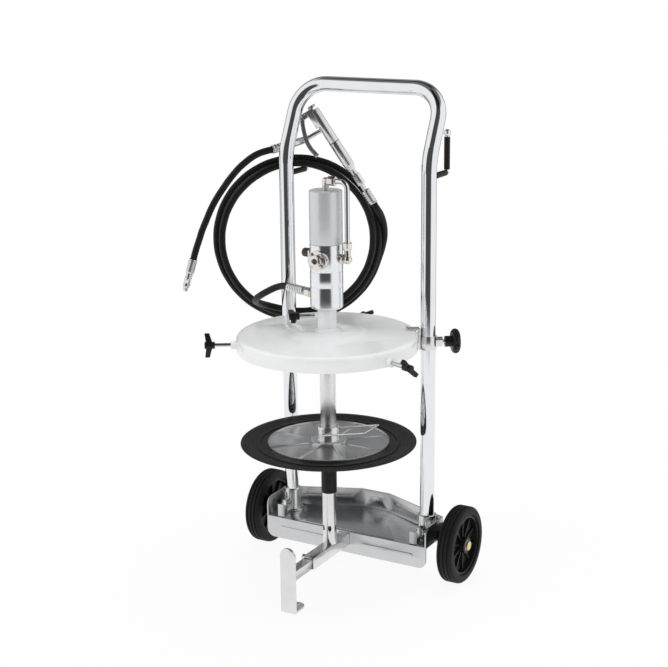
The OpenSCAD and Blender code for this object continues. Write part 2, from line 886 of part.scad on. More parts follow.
module arm_tube() {
    color("silver") at_axis() difference() {
        union() {
            translate([-arm_w / 2, -arm_reach, arm_z - arm_w / 2])
                cube([arm_w, arm_reach + arm_back_y, arm_w]);
            translate([-arm_w / 2 - arm_boss_h, arm_screw_y, arm_z]) bar_x(arm_boss_d, arm_boss_h);
        }
        translate([-arm_w / 2 + arm_wall, -arm_reach - over, arm_z - arm_w / 2 + arm_wall])
            cube([arm_w - 2 * arm_wall, arm_reach + arm_back_y + 2 * over, arm_w - 2 * arm_wall]);
        translate([-arm_w / 2 - arm_boss_h - over, arm_screw_y, arm_z])
            bar_x(arm_screw_d + 2 * run_gap, arm_boss_h + arm_wall + 2 * over);
    }
}

module arm_screw() {
    color("gainsboro") at_axis() translate([-arm_w / 2 + arm_wall, arm_screw_y, arm_z])
        rotate([0, -90, 0]) {
        cylinder(d = arm_screw_d, h = arm_wall + arm_boss_h + bolt_margin);
        translate([0, 0, arm_wall + arm_boss_h + bolt_margin]) hex_bar(arm_screw_head_d, arm_screw_head_h);
    }
}

module toe_plate() {
    color("silver") at_axis() union() {
        translate([0, -toe_reach + toe_t, 0]) rotate([90, 0, 0]) linear_extrude(toe_t) union() {
            translate([-toe_w / 2, 0]) square([toe_w, toe_h - toe_w / 2]);
            translate([0, toe_h - toe_w / 2]) circle(d = toe_w);
        }
        linear_extrude(toe_t) union() {
            translate([-toe_w / 2, -toe_reach]) square([toe_w, lip_len - toe_w / 2]);
            translate([0, -toe_reach + lip_len - toe_w / 2]) circle(d = toe_w);
        }
        difference() {
            translate([-inner_w / 2, -toe_reach + toe_t, arm_z - inner_w / 2])
                cube([inner_w, toe_reach - toe_t + inner_back_y, inner_w]);
            translate([-inner_w / 2 + inner_wall, -toe_reach + 2 * toe_t, arm_z - inner_w / 2 + inner_wall])
                cube([inner_w - 2 * inner_wall, toe_reach + inner_back_y, inner_w - 2 * inner_wall]);
        }
    }
}

module hanger_rods() {
    start_y = upright_y;
    end_y = upright_y + tube_d / 2 + hanger_back - hanger_bare;
    color("silver") at_axis() difference() {
        union() {
            for (side = [-1, 1]) {
                z = side < 0 ? hanger_left_z : hanger_right_z;
                translate([side * frame_half_w, start_y, z])
                    rotate([-90, 0, 0]) cylinder(d = hanger_d, h = end_y - start_y);
                translate([side * frame_half_w, end_y, z]) sphere(d = hanger_d, $fn = 48);
                translate([side * frame_half_w, end_y, z])
                    cylinder(d = hanger_d, h = side < 0 ? hanger_left_h : hanger_right_h);
            }
            translate([frame_half_w, end_y, hanger_right_z + hanger_right_h])
                sphere(d = hanger_ball_d, $fn = 48);
            gun_peg();
        }
        frame_room();
    }
}

// The peg that the gun's head hangs on
module gun_peg() {
    peg_y = upright_y + (gun_peg_z - knee_z) * tan(lean_a);
    translate([-frame_half_w, peg_y, gun_peg_z]) rotate([-90, 0, 0])
        cylinder(d = gun_peg_d, h = gun_peg_len);
    translate([-frame_half_w, peg_y + gun_peg_len, gun_peg_z]) sphere(d = gun_peg_d, $fn = 48);
    translate([-frame_half_w, peg_y + gun_peg_len, gun_peg_z]) cylinder(d = gun_peg_d, h = gun_peg_tip);
}

module hanger_sleeves() {
    start_y = upright_y + tube_d / 2;
    end_y = start_y + hanger_back - hanger_bare;
    color("dimgray") at_axis() {
        for (side = [-1, 1]) {
            z = side < 0 ? hanger_left_z : hanger_right_z;
            sleeve_l = hanger_back - hanger_bare - bolt_margin - hanger_sleeve_d / 2;
            translate([side * frame_half_w, start_y + bolt_margin, z]) rotate([-90, 0, 0])
                pipe(hanger_sleeve_d, hanger_d + 2 * fit_gap, sleeve_l);
        }
        translate([frame_half_w, end_y, hanger_right_z + hanger_sleeve_d / 2])
            pipe(hanger_sleeve_d, hanger_d + 2 * fit_gap,
                hanger_right_h - hanger_sleeve_d / 2 - hanger_ball_d / 2);
        translate([-frame_half_w, end_y, hanger_left_z + hanger_sleeve_d / 2])
            pipe(hanger_sleeve_d, hanger_d + 2 * fit_gap, hanger_left_h - hanger_sleeve_d / 2 - fit_gap);
    }
}

module clamp_collar() {
    color("gainsboro") at_axis() translate([frame_half_w, upright_y, collar_z]) difference() {
        union() {
            cylinder(d = collar_d, h = collar_h);
            translate([0, 0, collar_h / 2]) rotate([0, 90, clamp_turn])
                hex_bar(clamp_nut_d, collar_d / 2 + clamp_nut_l);
        }
        translate([0, 0, -over]) cylinder(d = tube_d + 2 * pass_gap, h = collar_h + 2 * over);
        translate([0, 0, collar_h / 2]) rotate([0, 0, clamp_turn])
            bar_x(screw_d + 2 * run_gap, collar_d);
    }
}

// A bent strip beside the collar, which points at the pump and reaches over the cover
module clamp_hook() {
    top = cover_z + pass_gap - collar_z;
    wall_r = collar_d / 2 + fit_gap;
    color("gainsboro") at_axis() translate([frame_half_w, upright_y, collar_z])
        rotate([0, 0, 180 + clamp_turn]) {
        translate([wall_r, -hook_w / 2, 0]) cube([hook_t, hook_w, top + hook_t]);
        translate([wall_r, -hook_w / 2, top]) cube([hook_in, hook_w, hook_t]);
        translate([wall_r + hook_in - hook_t, -hook_w / 2, top]) cube([hook_t, hook_w, hook_t + hook_lip]);
    }
}

module clamp_screw() {
    color("gainsboro") at_axis()
        translate([frame_half_w, upright_y, collar_z + collar_h / 2]) rotate([0, 0, clamp_turn])
            translate([tube_d / 2 + fit_gap + clamp_loose, 0, 0])
            bar_x(screw_d, collar_d / 2 + clamp_nut_l - tube_d / 2 + clamp_screw_out - clamp_loose);
}

module clamp_knob() {
    color("black") at_axis()
        translate([frame_half_w, upright_y, collar_z + collar_h / 2]) rotate([0, 0, clamp_turn])
            translate([collar_d / 2 + clamp_nut_l + clamp_knob_gap, 0, 0])
            rotate([0, 90, 0]) difference() {
                union() {
                    cylinder(d = knob_hub_d, h = knob_hub_l + knob_disc_t);
                    translate([0, 0, knob_hub_l]) rotate_extrude($fn = 96) union() {
                        square([round_knob_d / 2 - knob_disc_t / 2, knob_disc_t]);
                        translate([round_knob_d / 2 - knob_disc_t / 2, knob_disc_t / 2])
                            circle(d = knob_disc_t);
                    }
                }
                for (i = [0:scallops - 1]) {
                    rotate([0, 0, 360 * i / scallops])
                        translate([round_knob_d / 2 + knob_hub_d / 2 - scallop_depth, 0, knob_hub_l - over])
                            cylinder(d = knob_hub_d, h = knob_disc_t + 2 * over);
                }
                translate([0, 0, -over]) cylinder(d = screw_d + 2 * run_gap,
                    h = clamp_screw_out - clamp_knob_gap + pass_gap + over);
            }
}

module drum_cover() {
    r = cover_d / 2;
    color("white") at_axis() difference() {
        union() {
            rotate_extrude($fn = 160) difference() {
                cover_profile(r);
                translate([0, -over]) square([suction_d / 2 + pass_gap, cover_z + dome_h + 2 * over]);
            }
            rim_boss(rim_left_a);
            rim_boss(rim_right_a);
            rim_boss(rim_back_a);
        }
        for (a = [rim_left_a, rim_right_a, rim_back_a]) {
            rotate([0, 0, a]) translate([r - boss_l, 0, cover_z - rim_screw_drop])
                bar_x(screw_d + 2 * run_gap, 2 * boss_l + over);
        }
    }
}

// Half of the cover's section: top, edge, rim and raised middle
module cover_profile(r) {
    bottom = cover_z - cover_rim_h;
    dome_r = dome_d / 2;
    difference() {
        union() {
            translate([0, bottom]) square([r, cover_rim_h - cover_edge_r]);
            translate([0, bottom]) square([r - cover_edge_r, cover_rim_h]);
            translate([r - cover_edge_r, cover_z - cover_edge_r]) circle(r = cover_edge_r);
            polygon([[0, cover_z - cover_t], [dome_r + 2 * dome_h, cover_z - cover_t],
                [dome_r + 2 * dome_h, cover_z],
                [dome_r, cover_z + dome_h], [0, cover_z + dome_h]]);
        }
        translate([-over, bottom - over]) square([r - cover_t + over, cover_rim_h - cover_edge_r + over]);
        translate([-over, bottom - over]) square([r - cover_edge_r + over, cover_rim_h - cover_t + over]);
        translate([r - cover_edge_r, cover_z - cover_edge_r]) circle(r = cover_edge_r - cover_t);
        polygon([[-over, cover_z - cover_t - over],
            [dome_r + 2 * dome_h - cover_t, cover_z - cover_t - over],
            [dome_r + 2 * dome_h - cover_t, cover_z - cover_t],
                [dome_r - cover_t / 2, cover_z + dome_h - cover_t],
            [-over, cover_z + dome_h - cover_t]]);
    }
}

module rim_boss(a) {
    rotate([0, 0, a]) translate([cover_d / 2 - cover_t / 2, 0, cover_z - rim_screw_drop])
        bar_x(boss_d, boss_l);
}

module cover_neck() {
    base = cover_z + dome_h;
    color("white") at_axis() difference() {
        union() {
            translate([0, 0, base]) cylinder(d = neck_d, h = motor_z - base);
            translate([0, 0, base]) cylinder(d1 = neck_flange_d, d2 = neck_d, h = neck_flange_h);
            rotate([0, 0, neck_screw_a]) translate([0, 0, neck_screw_z])
                bar_x(neck_boss_d, neck_d / 2 + neck_boss_l);
        }
        translate([0, 0, base - over]) cylinder(d = suction_d + 2 * fit_gap, h = motor_z - base + 2 * over);
        rotate([0, 0, neck_screw_a]) translate([0, 0, neck_screw_z])
            bar_x(screw_d + 2 * run_gap, neck_d + neck_boss_l);
    }
}

// Places a screw's pieces: z = 0 is the knob's middle and z runs outwards
module at_screw(a, r, z) {
    at_axis() rotate([0, 0, a]) translate([r, 0, z]) rotate([0, 90, 0]) children();
}

module wing_screw(a, r, z, tip_r) {
    color("gainsboro") at_screw(a, r, z)
        translate([0, 0, tip_r - r])
            cylinder(d = screw_d, h = r - tip_r - wing_hub_l / 2 + knob_screw_depth);
}

// A wing knob with two flat wings, whose hub is centred on z = 0
module wing_knob(a, r, z, turn) {
    color("black") at_screw(a, r, z) rotate([0, 0, turn]) difference() {
        union() {
            translate([0, 0, -wing_hub_l / 2]) cylinder(d = wing_hub_d, h = wing_hub_l);
            for (side = [-1, 1]) {
                translate([0, wing_t / 2, 0]) rotate([90, 0, 0]) linear_extrude(wing_t) polygon([
                    [0, -wing_root / 2], [side * wing_span / 2, wing_sweep - wing_tip / 2],
                    [side * wing_span / 2, wing_sweep + wing_tip / 2], [0, wing_root / 2],
                ]);
            }
        }
        translate([0, 0, -wing_hub_l / 2 - over])
            cylinder(d = screw_d + 2 * run_gap, h = knob_screw_depth + pass_gap + over);
    }
}

module rim_screw(a) {
    wing_screw(a, rim_knob_r, cover_z - rim_screw_drop, cover_d / 2 - cover_t - screw_in);
}

module rim_knob(a, turn) {
    wing_knob(a, rim_knob_r, cover_z - rim_screw_drop, turn);
}

module neck_screw() {
    wing_screw(neck_screw_a, neck_knob_r, neck_screw_z, suction_d / 2 + pass_gap);
}

module neck_knob() {
    wing_knob(neck_screw_a, neck_knob_r, neck_screw_z, neck_knob_turn);
}

module motor_cylinder() {
    color("gainsboro") at_axis() translate([0, 0, cylinder_z]) difference() {
        cylinder(d = motor_d, h = cylinder_h);
        translate([0, 0, -over]) cylinder(d = motor_d - 2 * cylinder_wall, h = cylinder_h - lid_t + over);
        translate([0, 0, cylinder_h - lid_t - over]) cylinder(d = top_block_d / 2, h = lid_t + 2 * over);
    }
}

module motor_body() {
    r = motor_d / 2;
    color("silver") at_axis() difference() {
        rotate_extrude($fn = 96) difference() {
            translate([0, motor_z]) union() {
                translate([0, body_edge_r]) square([r, body_h - body_edge_r]);
                square([r - body_edge_r, body_edge_r]);
                translate([r - body_edge_r, body_edge_r]) circle(r = body_edge_r);
            }
            for (z = [groove_low_z, groove_high_z]) {
                translate([r - groove_d, z - groove_w / 2]) square([groove_d + over, groove_w]);
            }
        }
        translate([0, 0, motor_z - over]) cylinder(d = suction_d + 2 * fit_gap, h = tube_in_body + over);
        translate([0, 0, motor_z])
            cylinder(d = lower_d - 2 * lower_wall, h = outlet_z - motor_z + outlet_bore);
        translate([0, 0, motor_z]) cylinder(d = rod_d + 2 * fit_gap, h = body_h + over);
        rotate([0, 0, outlet_a]) translate([0, 0, outlet_z]) bar_x(outlet_bore, motor_d);
        translate([0, -motor_d, inlet_z]) rotate([-90, 0, 0])
            cylinder(d = outlet_bore, h = motor_d - rod_d);
    }
}

module inlet_flange() {
    back = motor_d / 2;
    color("gainsboro") at_axis() translate([0, 0, inlet_z]) rotate([90, 0, 0]) difference() {
        union() {
            cylinder(d = inlet_d, h = back + flange_t);
            translate([0, 0, back]) cylinder(d = flange_nose_d, h = flange_t + flange_nose_l);
        }
        rotate([90, 0, 0]) translate([0, 0, -motor_d]) cylinder(r = back + fit_gap, h = 2 * motor_d);
        translate([0, 0, back + flange_t + flange_nose_l - inlet_bore_l])
            cylinder(r = inlet_bore_r, h = inlet_bore_l + over);
        cylinder(d = outlet_bore, h = back + flange_t + flange_nose_l);
        for (i = [0:3]) {
            rotate([0, 0, 45 + 90 * i]) translate([flange_screw_pcd / 2, 0, 0])
                cylinder(d = flange_screw_d + 2 * fit_gap, h = back + flange_t + over);
        }
    }
}

module flange_screws() {
    back = motor_d / 2;
    seat = sqrt(back * back - flange_screw_pcd * flange_screw_pcd / 8);
    color("darkgray") at_axis() translate([0, 0, inlet_z]) rotate([90, 0, 0]) {
        for (i = [0:3]) {
            rotate([0, 0, 45 + 90 * i]) translate([flange_screw_pcd / 2, 0, 0]) {
                translate([0, 0, seat + bolt_margin])
                    cylinder(d = flange_screw_d, h = back + flange_t - seat - bolt_margin);
                translate([0, 0, back + flange_t]) cylinder(d = flange_screw_head, h = bolt_margin);
            }
        }
    }
}

module silencer() {
    color("dimgray") at_axis() rotate([0, 0, 180])
        translate([motor_d / 2 + fit_gap, 0, inlet_z + flange_t]) {
        bar_x(silencer_d, silencer_l);
    }
}

module side_elbow() {
    color("gainsboro") at_axis() translate([0, 0, inlet_z]) difference() {
        union() {
            translate([motor_d / 2 + fit_gap, 0, 0]) rotate([0, 90, 0]) hex_bar(elbow_hex, elbow_hex_l);
            translate([motor_d / 2 + fit_gap, 0, 0])
                bar_x(elbow_hex * elbow_neck_share, pipe_x - motor_d / 2);
            translate([pipe_x, 0, 0]) sphere(d = elbow_ball_d);
            translate([pipe_x, 0, 0])
                cylinder(d = elbow_hex * elbow_neck_share, h = elbow_ball_d / 2 + elbow_neck_l);
        }
        translate([pipe_x, 0, 0]) cylinder(d = pipe_d + 2 * fit_gap, h = elbow_ball_d + elbow_neck_l);
    }
}

module air_pipe() {
    low = inlet_z + elbow_ball_d / 2;
    color("silver") at_axis() difference() {
        air_pipe_run(pipe_d, low, 0);
        air_pipe_run(pipe_d - 2 * pipe_wall, low, over);
    }
}

module air_pipe_run(d, low, extra) {
    translate([pipe_x, 0, low - extra]) cylinder(d = d, h = pipe_top_z - pipe_bend_r - low + extra);
    translate([pipe_x - pipe_bend_r, 0, pipe_top_z - pipe_bend_r])
        rotate([90, 0, 0]) rotate_extrude(angle = 90, $fn = 96) translate([pipe_bend_r, 0])
            circle(d = d, $fn = 48);
    translate([top_block_d / 2 - extra, 0, pipe_top_z])
        bar_x(d, pipe_x - pipe_bend_r - top_block_d / 2 + extra);
}

module pipe_nuts() {
    nut_z = inlet_z + elbow_ball_d / 2 + elbow_neck_l;
    color("gainsboro") at_axis() {
        translate([pipe_x, 0, nut_z]) difference() {
            hex_bar(nut_hex, nut_h);
            translate([0, 0, -over]) cylinder(d = pipe_d + 2 * fit_gap, h = nut_h + 2 * over);
        }
        translate([top_block_d / 2 + fit_gap, 0, pipe_top_z]) rotate([0, 90, 0]) difference() {
            hex_bar(nut_hex, top_nut_l);
            translate([0, 0, -over]) cylinder(d = pipe_d + 2 * fit_gap, h = top_nut_l + 2 * over);
        }
    }
}

module top_elbow() {
    color("gainsboro") at_axis() translate([0, 0, top_z]) difference() {
        union() {
            cylinder(d = top_block_d, h = top_block_h - top_block_d / 2);
            translate([0, 0, top_block_h - top_block_d / 2]) sphere(d = top_block_d);
            translate([0, 0, pipe_top_z - top_z]) bar_x(top_block_d, top_block_d / 2);
        }
        translate([0, 0, -over]) cylinder(d = pipe_d - 2 * pipe_wall, h = pipe_top_z - top_z + over);
        translate([0, 0, pipe_top_z - top_z]) bar_x(pipe_d - 2 * pipe_wall, top_block_d);
    }
}

function outlet_point(r) = [r * cos(outlet_a), r * sin(outlet_a), outlet_z];

// Places what lies along the outlet, from the motor's axis outwards
module at_outlet() {
    at_axis() translate([0, 0, outlet_z]) rotate([0, 0, outlet_a]) children();
}

module outlet_fitting() {
    color("goldenrod") at_outlet() translate([motor_d / 2 + fit_gap, 0, 0]) rotate([0, 90, 0])
        difference() {
        hex_bar(outlet_hex, outlet_l);
        translate([0, 0, -over]) cylinder(d = outlet_bore, h = outlet_l + 2 * over);
    }
}

module suction_tube() {
    color("silver") at_axis() translate([0, 0, tube_joint_z])
        pipe(suction_d, suction_d - 2 * suction_wall, motor_z + tube_in_body - fit_gap - tube_joint_z);
}

module lower_tube() {
    color("silver") at_axis() difference() {
        translate([0, 0, floor_z])
            pipe(lower_d, lower_d - 2 * lower_wall, tube_joint_z + tube_overlap - floor_z);
        for (a = [30:60:150]) {
            rotate([0, 0, a]) translate([0, 0, hole_z]) rotate([90, 0, 0])
                translate([0, 0, -lower_d]) linear_extrude(2 * lower_d) rotate([0, 0, 90])
                    stadium(hole_h, hole_w);
        }
    }
}

module tube_sleeve() {
    color("black") at_axis() translate([0, 0, sleeve_z])
        pipe(sleeve_d, lower_d + 2 * fit_gap, tube_joint_z - sleeve_z - fit_gap);
}

module foot_valve() {
    seat_z = hole_z + hole_h;
    color("goldenrod") at_axis() {
        translate([0, 0, seat_z]) pipe(lower_d - 2 * lower_wall - 2 * fit_gap, valve_bore, valve_h / 2);
        translate([0, 0,
            seat_z + valve_h / 2 + fit_gap + sqrt(ball_d * ball_d - valve_bore * valve_bore) / 2])
            sphere(d = ball_d);
    }
}

module air_piston() {
    bore = motor_d - 2 * cylinder_wall;
    color("silver") at_axis() translate([0, 0, cylinder_z + piston_rest]) difference() {
        rotate_extrude($fn = 96) difference() {
            square([bore / 2 - fit_gap, piston_t]);
            translate([bore / 2 - seal_d, piston_t / 2 - seal_w / 2]) square([seal_d + over, seal_w]);
        }
        translate([0, 0, -over]) cylinder(d = rod_d + 2 * run_gap, h = piston_t + 2 * over);
    }
}

module pump_rod() {
    color("silver") at_axis() {
        translate([0, 0, rod_bottom_z])
            cylinder(d = rod_d, h = cylinder_z + piston_rest + piston_t - rod_bottom_z);
        translate([0, 0, rod_bottom_z]) cylinder(d = lower_d - 2 * lower_wall - 2 * run_gap, h = plunger_h);
    }
}

module follower_rubber() {
    color("black") at_axis() translate([0, 0, follower_z]) rotate_extrude($fn = 160) union() {
        translate([hub_bore / 2, 0]) square([ridge_d / 2 - hub_bore / 2, rubber_t]);
        translate([ridge_d / 2 - ridge_w, 0]) square([ridge_w, rubber_t + ridge_h]);
        polygon([[ridge_d / 2 - ridge_w, 0], [rubber_d / 2, lip_rise],
            [rubber_d / 2, lip_rise + lip_t], [ridge_d / 2, rubber_t]]);
    }
}

module follower_dish() {
    color("silver") at_axis() translate([0, 0, dish_z]) union() {
        difference() {
            rotate_extrude($fn = 128) union() {
                square([dish_d / 2, dish_t]);
                translate([dish_d / 2 - dish_t, 0]) square([dish_t, dish_edge_h]);
            }
            translate([0, 0, -over]) cylinder(d = hub_bore, h = dish_t + 2 * over);
        }
        for (i = [0:dish_rib_n - 1]) {
            rotate([0, 0, 360 * i / dish_rib_n])
                translate([hub_foot_d / 2 + bolt_margin, -dish_rib_w / 2, dish_t / 2])
                cube([dish_d / 2 - dish_t - hub_foot_d / 2 - 2 * bolt_margin, dish_rib_w,
                    dish_t / 2 + dish_rib_h]);
        }
    }
}

module follower_hub() {
    base = dish_z + dish_t;
    pin_z = follower_hub_h - pin_drop;
    color("silver") at_axis() translate([0, 0, base]) difference() {
        union() {
            cylinder(d = hub_foot_d, h = hub_foot_h);
            cylinder(d = follower_hub_d, h = follower_hub_h);
        }
        translate([0, 0, -over]) cylinder(d = hub_bore, h = follower_hub_h + 2 * over);
        for (side = [-1, 1]) {
            translate([0, side * follower_hub_d / 2, pin_z]) rotate([90, 0, 0])
                cylinder(d = bail_d + 2 * run_gap, h = 2 * bail_d, center = true);
        }
    }
}

module bail() {
    base = dish_z + dish_t + follower_hub_h - pin_drop;
    in_y = follower_hub_d / 2 - bail_d + fit_gap;
    color("silver") at_axis() translate([0, 0, base]) rotate([0, -bail_lift, 0])
        for (side = [-1, 1]) {
        rod([0, side * in_y, 0], [0, side * bail_half_w, 0], bail_d);
        translate([0, side * bail_half_w, 0]) sphere(d = bail_d, $fn = 24);
        rod([0, side * bail_half_w, 0], [bail_reach, side * bail_half_w, 0], bail_d);
        translate([bail_reach, side * bail_half_w, 0]) sphere(d = bail_d, $fn = 24);
        rod([bail_reach, side * bail_half_w, 0], [bail_reach, 0, 0], bail_d);
    }
}

module hose_runs() {
    color("black") at_axis() {
        swept_tube(lead_path, hose_d, hose_sides);
        swept_tube(tail_path, hose_d, hose_sides);
    }
}

module hose_coil() {
    color("black") at_axis() swept_tube(coil_path, hose_d, coil_sides);
}

// The gun's own frame: z runs along its barrel and x towards its lever
module at_gun() {
    at_axis() translate([gun_x, gun_y, gun_z]) rotate([0, gun_tilt, gun_yaw]) children();
}

function gun_point(z) = [
    gun_x + z * sin(gun_tilt) * cos(gun_yaw),
    gun_y + z * sin(gun_tilt) * sin(gun_yaw),
    gun_z + z * cos(gun_tilt),
];

module gun_body() {
    color("silver") at_gun() difference() {
        union() {
            cylinder(d = gun_d, h = barrel_l);
            translate([0, -head_w / 2, -head_w / 4]) cube([head_w * head_out_share, head_w, head_l]);
            translate([0, 0, barrel_l - over]) cylinder(d = gun_d - bolt_margin, h = barrel_gap + 2 * over);
            translate([0, 0, barrel_two_z]) cylinder(d = gun_d, h = barrel_two_l);
            translate([0, 0, barrel_two_z + barrel_two_l])
                cylinder(d1 = gun_d, d2 = gun_neck_d + bolt_margin, h = barrel_taper_l);
            translate([0, 0, gun_neck_z]) cylinder(d = gun_neck_d, h = gun_neck_l);
            translate([0, 0, gun_nut_z]) hex_bar(gun_nut_hex, gun_nut_l);
            translate([0, 0, gun_stem_z]) cylinder(d = gun_stem_d, h = gun_stem_l);
            for (side = [-1, 1]) {
                translate([head_w / 2, side * (lever_w / 2 + pass_gap + lever_t / 2) - lever_t / 2,
                    -head_w / 4])
                    cube([lug_out, lever_t, head_w * head_lug_share]);
            }
        }
        translate([head_w * head_out_share, -lever_w / 2 - pass_gap, -head_w])
            cube([lug_out, lever_w + 2 * pass_gap, 2 * head_w]);
        translate([lever_pin_x, 0, 0]) rotate([90, 0, 0])
            cylinder(d = lever_pin_d + 2 * run_gap, h = 2 * head_w, center = true);
    }
}

module gun_lever() {
    color("silver") at_gun() {
        rotate([90, 0, 0]) translate([0, 0, -lever_w / 2]) linear_extrude(lever_w) union() {
            for (i = [0:len(lever_points) - 2]) {
                lever_bar(lever_points[i], lever_points[i + 1]);
            }
            translate(lever_points[0]) circle(d = lever_pin_d + lever_t);
        }
        translate([lever_pin_x, 0, 0]) rotate([90, 0, 0])
            cylinder(d = lever_pin_d, h = lever_w + 2 * lever_t + 2 * pass_gap, center = true);
    }
}

// One straight stretch of the lever's strip, with round ends
module lever_bar(a, b) {
    v = b - a;
    translate(a) rotate(atan2(v.y, v.x)) union() {
        translate([0, -lever_depth / 2]) square([norm(v), lever_depth]);
        circle(d = lever_depth);
        translate([norm(v), 0]) circle(d = lever_depth);
    }
}

module gun_tube() {
    color("silver") at_axis() difference() {
        union() {
            rod(outlet_pipe_from, outlet_pipe_mid, outlet_pipe_d);
            rod(outlet_pipe_mid, outlet_pipe_to, outlet_nut_d);
        }
        translate([gun_x, gun_y, gun_z]) rotate([0, gun_tilt, gun_yaw])
            cylinder(d = gun_d + 2 * fit_gap, h = barrel_l);
    }
}

module hose_ferrules() {
    color("gainsboro") {
        at_outlet() translate([ferrule_start_r, 0, 0]) bar_x(ferrule_d, ferrule_end_r - ferrule_start_r);
        at_gun() translate([0, 0, gun_ferrule_z])
            cylinder(d1 = gun_ferrule_d, d2 = ferrule_d, h = gun_ferrule_l);
        at_axis() rod(outlet_pipe_to, whip_route[0], ferrule_d);
        at_axis() rod(whip_route[len(whip_route) - 1], whip_end, ferrule_d);
    }
}

module whip_hose() {
    color("black") at_axis() swept_tube(whip_route, hose_d, hose_sides);
}

module whip_coupler() {
    v = whip_end - whip_route[len(whip_route) - 1];
    color("lightgray") at_axis() translate(whip_end) rotate([0, acos(v.z / norm(v)), atan2(v.y, v.x)])
        difference() {
        union() {
            cylinder(d = coupler_d, h = coupler_l);
            translate([0, 0, coupler_l]) cylinder(d = coupler_tip_d, h = coupler_tip_l);
        }
        translate([0, 0, coupler_l / 2]) cylinder(d = coupler_bore, h = coupler_l);
    }
}

frame_tube();
base_tray();
tube_sockets();
socket_bolts();
axle();
axle_brackets();
axle_caps();
arm_tube();
hanger_rods();
hanger_sleeves();
toe_plate();
arm_screw();
tyre(-1);  // tyre_left
wheel(-1);  // wheel_left
bush(-1);  // bush_left
tyre(1);  // tyre_right
wheel(1);  // wheel_right
bush(1);  // bush_right
clamp_collar();
clamp_hook();
clamp_screw();
clamp_knob();
drum_cover();
cover_neck();
rim_screw(rim_left_a);  // rim_screw_left
rim_screw(rim_right_a);  // rim_screw_right
rim_screw(rim_back_a);  // rim_screw_back
rim_knob(rim_left_a, rim_left_turn);  // rim_knob_left
rim_knob(rim_right_a, rim_right_turn);  // rim_knob_right
rim_knob(rim_back_a, rim_back_turn);  // rim_knob_back
neck_screw();
neck_knob();
motor_cylinder();
motor_body();
inlet_flange();
flange_screws();
silencer();
side_elbow();
pipe_nuts();
air_pipe();
top_elbow();
outlet_fitting();
suction_tube();
lower_tube();
tube_sleeve();
foot_valve();
air_piston();
pump_rod();
follower_dish();
follower_rubber();
follower_hub();
bail();
hose_runs();
hose_coil();
hose_ferrules();
gun_body();
gun_lever();
gun_tube();
whip_hose();
whip_coupler();
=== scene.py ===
"""Dresses a packed mobile grease pump: its finishes, hoses, fittings and rounded edges.

Lengths are in metres, in the part's own frame: X to the right seen from the front, Y to
the back and Z up, with the origin under the front foot.
"""
import json
import logging
import math
from dataclasses import dataclass, field
from enum import Enum
from typing import Any, Iterable, Sequence

import bmesh
import bpy
from mathutils import Matrix, Vector


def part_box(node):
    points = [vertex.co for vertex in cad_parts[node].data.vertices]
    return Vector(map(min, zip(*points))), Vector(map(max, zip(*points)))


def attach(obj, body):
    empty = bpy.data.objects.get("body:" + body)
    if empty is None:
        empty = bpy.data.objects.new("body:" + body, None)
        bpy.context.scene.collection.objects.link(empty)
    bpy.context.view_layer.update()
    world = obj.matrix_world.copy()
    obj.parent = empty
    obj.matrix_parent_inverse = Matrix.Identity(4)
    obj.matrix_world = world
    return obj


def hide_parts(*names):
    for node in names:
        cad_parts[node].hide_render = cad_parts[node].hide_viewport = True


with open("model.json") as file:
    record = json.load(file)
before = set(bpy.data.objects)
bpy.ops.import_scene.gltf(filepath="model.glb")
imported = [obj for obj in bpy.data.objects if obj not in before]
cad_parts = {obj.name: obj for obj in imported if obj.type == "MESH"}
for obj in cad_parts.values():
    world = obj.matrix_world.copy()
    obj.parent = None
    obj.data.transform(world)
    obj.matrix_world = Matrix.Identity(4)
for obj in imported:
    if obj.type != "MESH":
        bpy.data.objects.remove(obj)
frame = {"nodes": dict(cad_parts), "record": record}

LOG = logging.getLogger("grease_pump")
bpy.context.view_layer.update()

# Shares of the broad clouds and of the fine grain in a finish's tone
CLOUD_SHARE = 0.7
GRAIN_SHARE = 0.3
# Where a finish's tone goes from its darker to its lighter end
TONE_LOW = 0.3
TONE_HIGH = 0.7
# How many times finer the small gloss pattern is than the clouds
FINE_TIMES = 6
COAT_ROUGHNESS = 0.12
# Shares of the cloth and of the ribs in a wrapped hose's relief
CLOTH_SHARE = 0.6
RIB_SHARE = 0.4
# How much a turned surface's lines are drawn out round its axis
TURNED_SCALE = 0.02

# Distances under which points are one, in a new shape and in a copied node
MERGE_DIST = 1e-6
NODE_MERGE_DIST = 2e-6
# Faces of a copied node that differ by less than this are one flat face
FLAT_ANGLE = math.radians(0.4)
# Edges sharper than this are rounded, with so many faces across the rounding
ROUNDING_ANGLE = math.radians(32)
ROUNDING_FACES = 2
CREASE_ANGLE = math.radians(38)
HEXAGON = 6


class Axis(Enum):
    """A direction that a grain or a pattern follows."""

    X = 0
    Y = 1
    Z = 2


class Grain(Enum):
    """How a surface was made, which decides its fine relief."""

    POLISHED = "polished"
    BRUSHED = "brushed"
    TURNED = "turned"
    SPRAYED = "sprayed"
    MOULDED = "moulded"
    SINTERED = "sintered"
    WRAPPED = "wrapped"


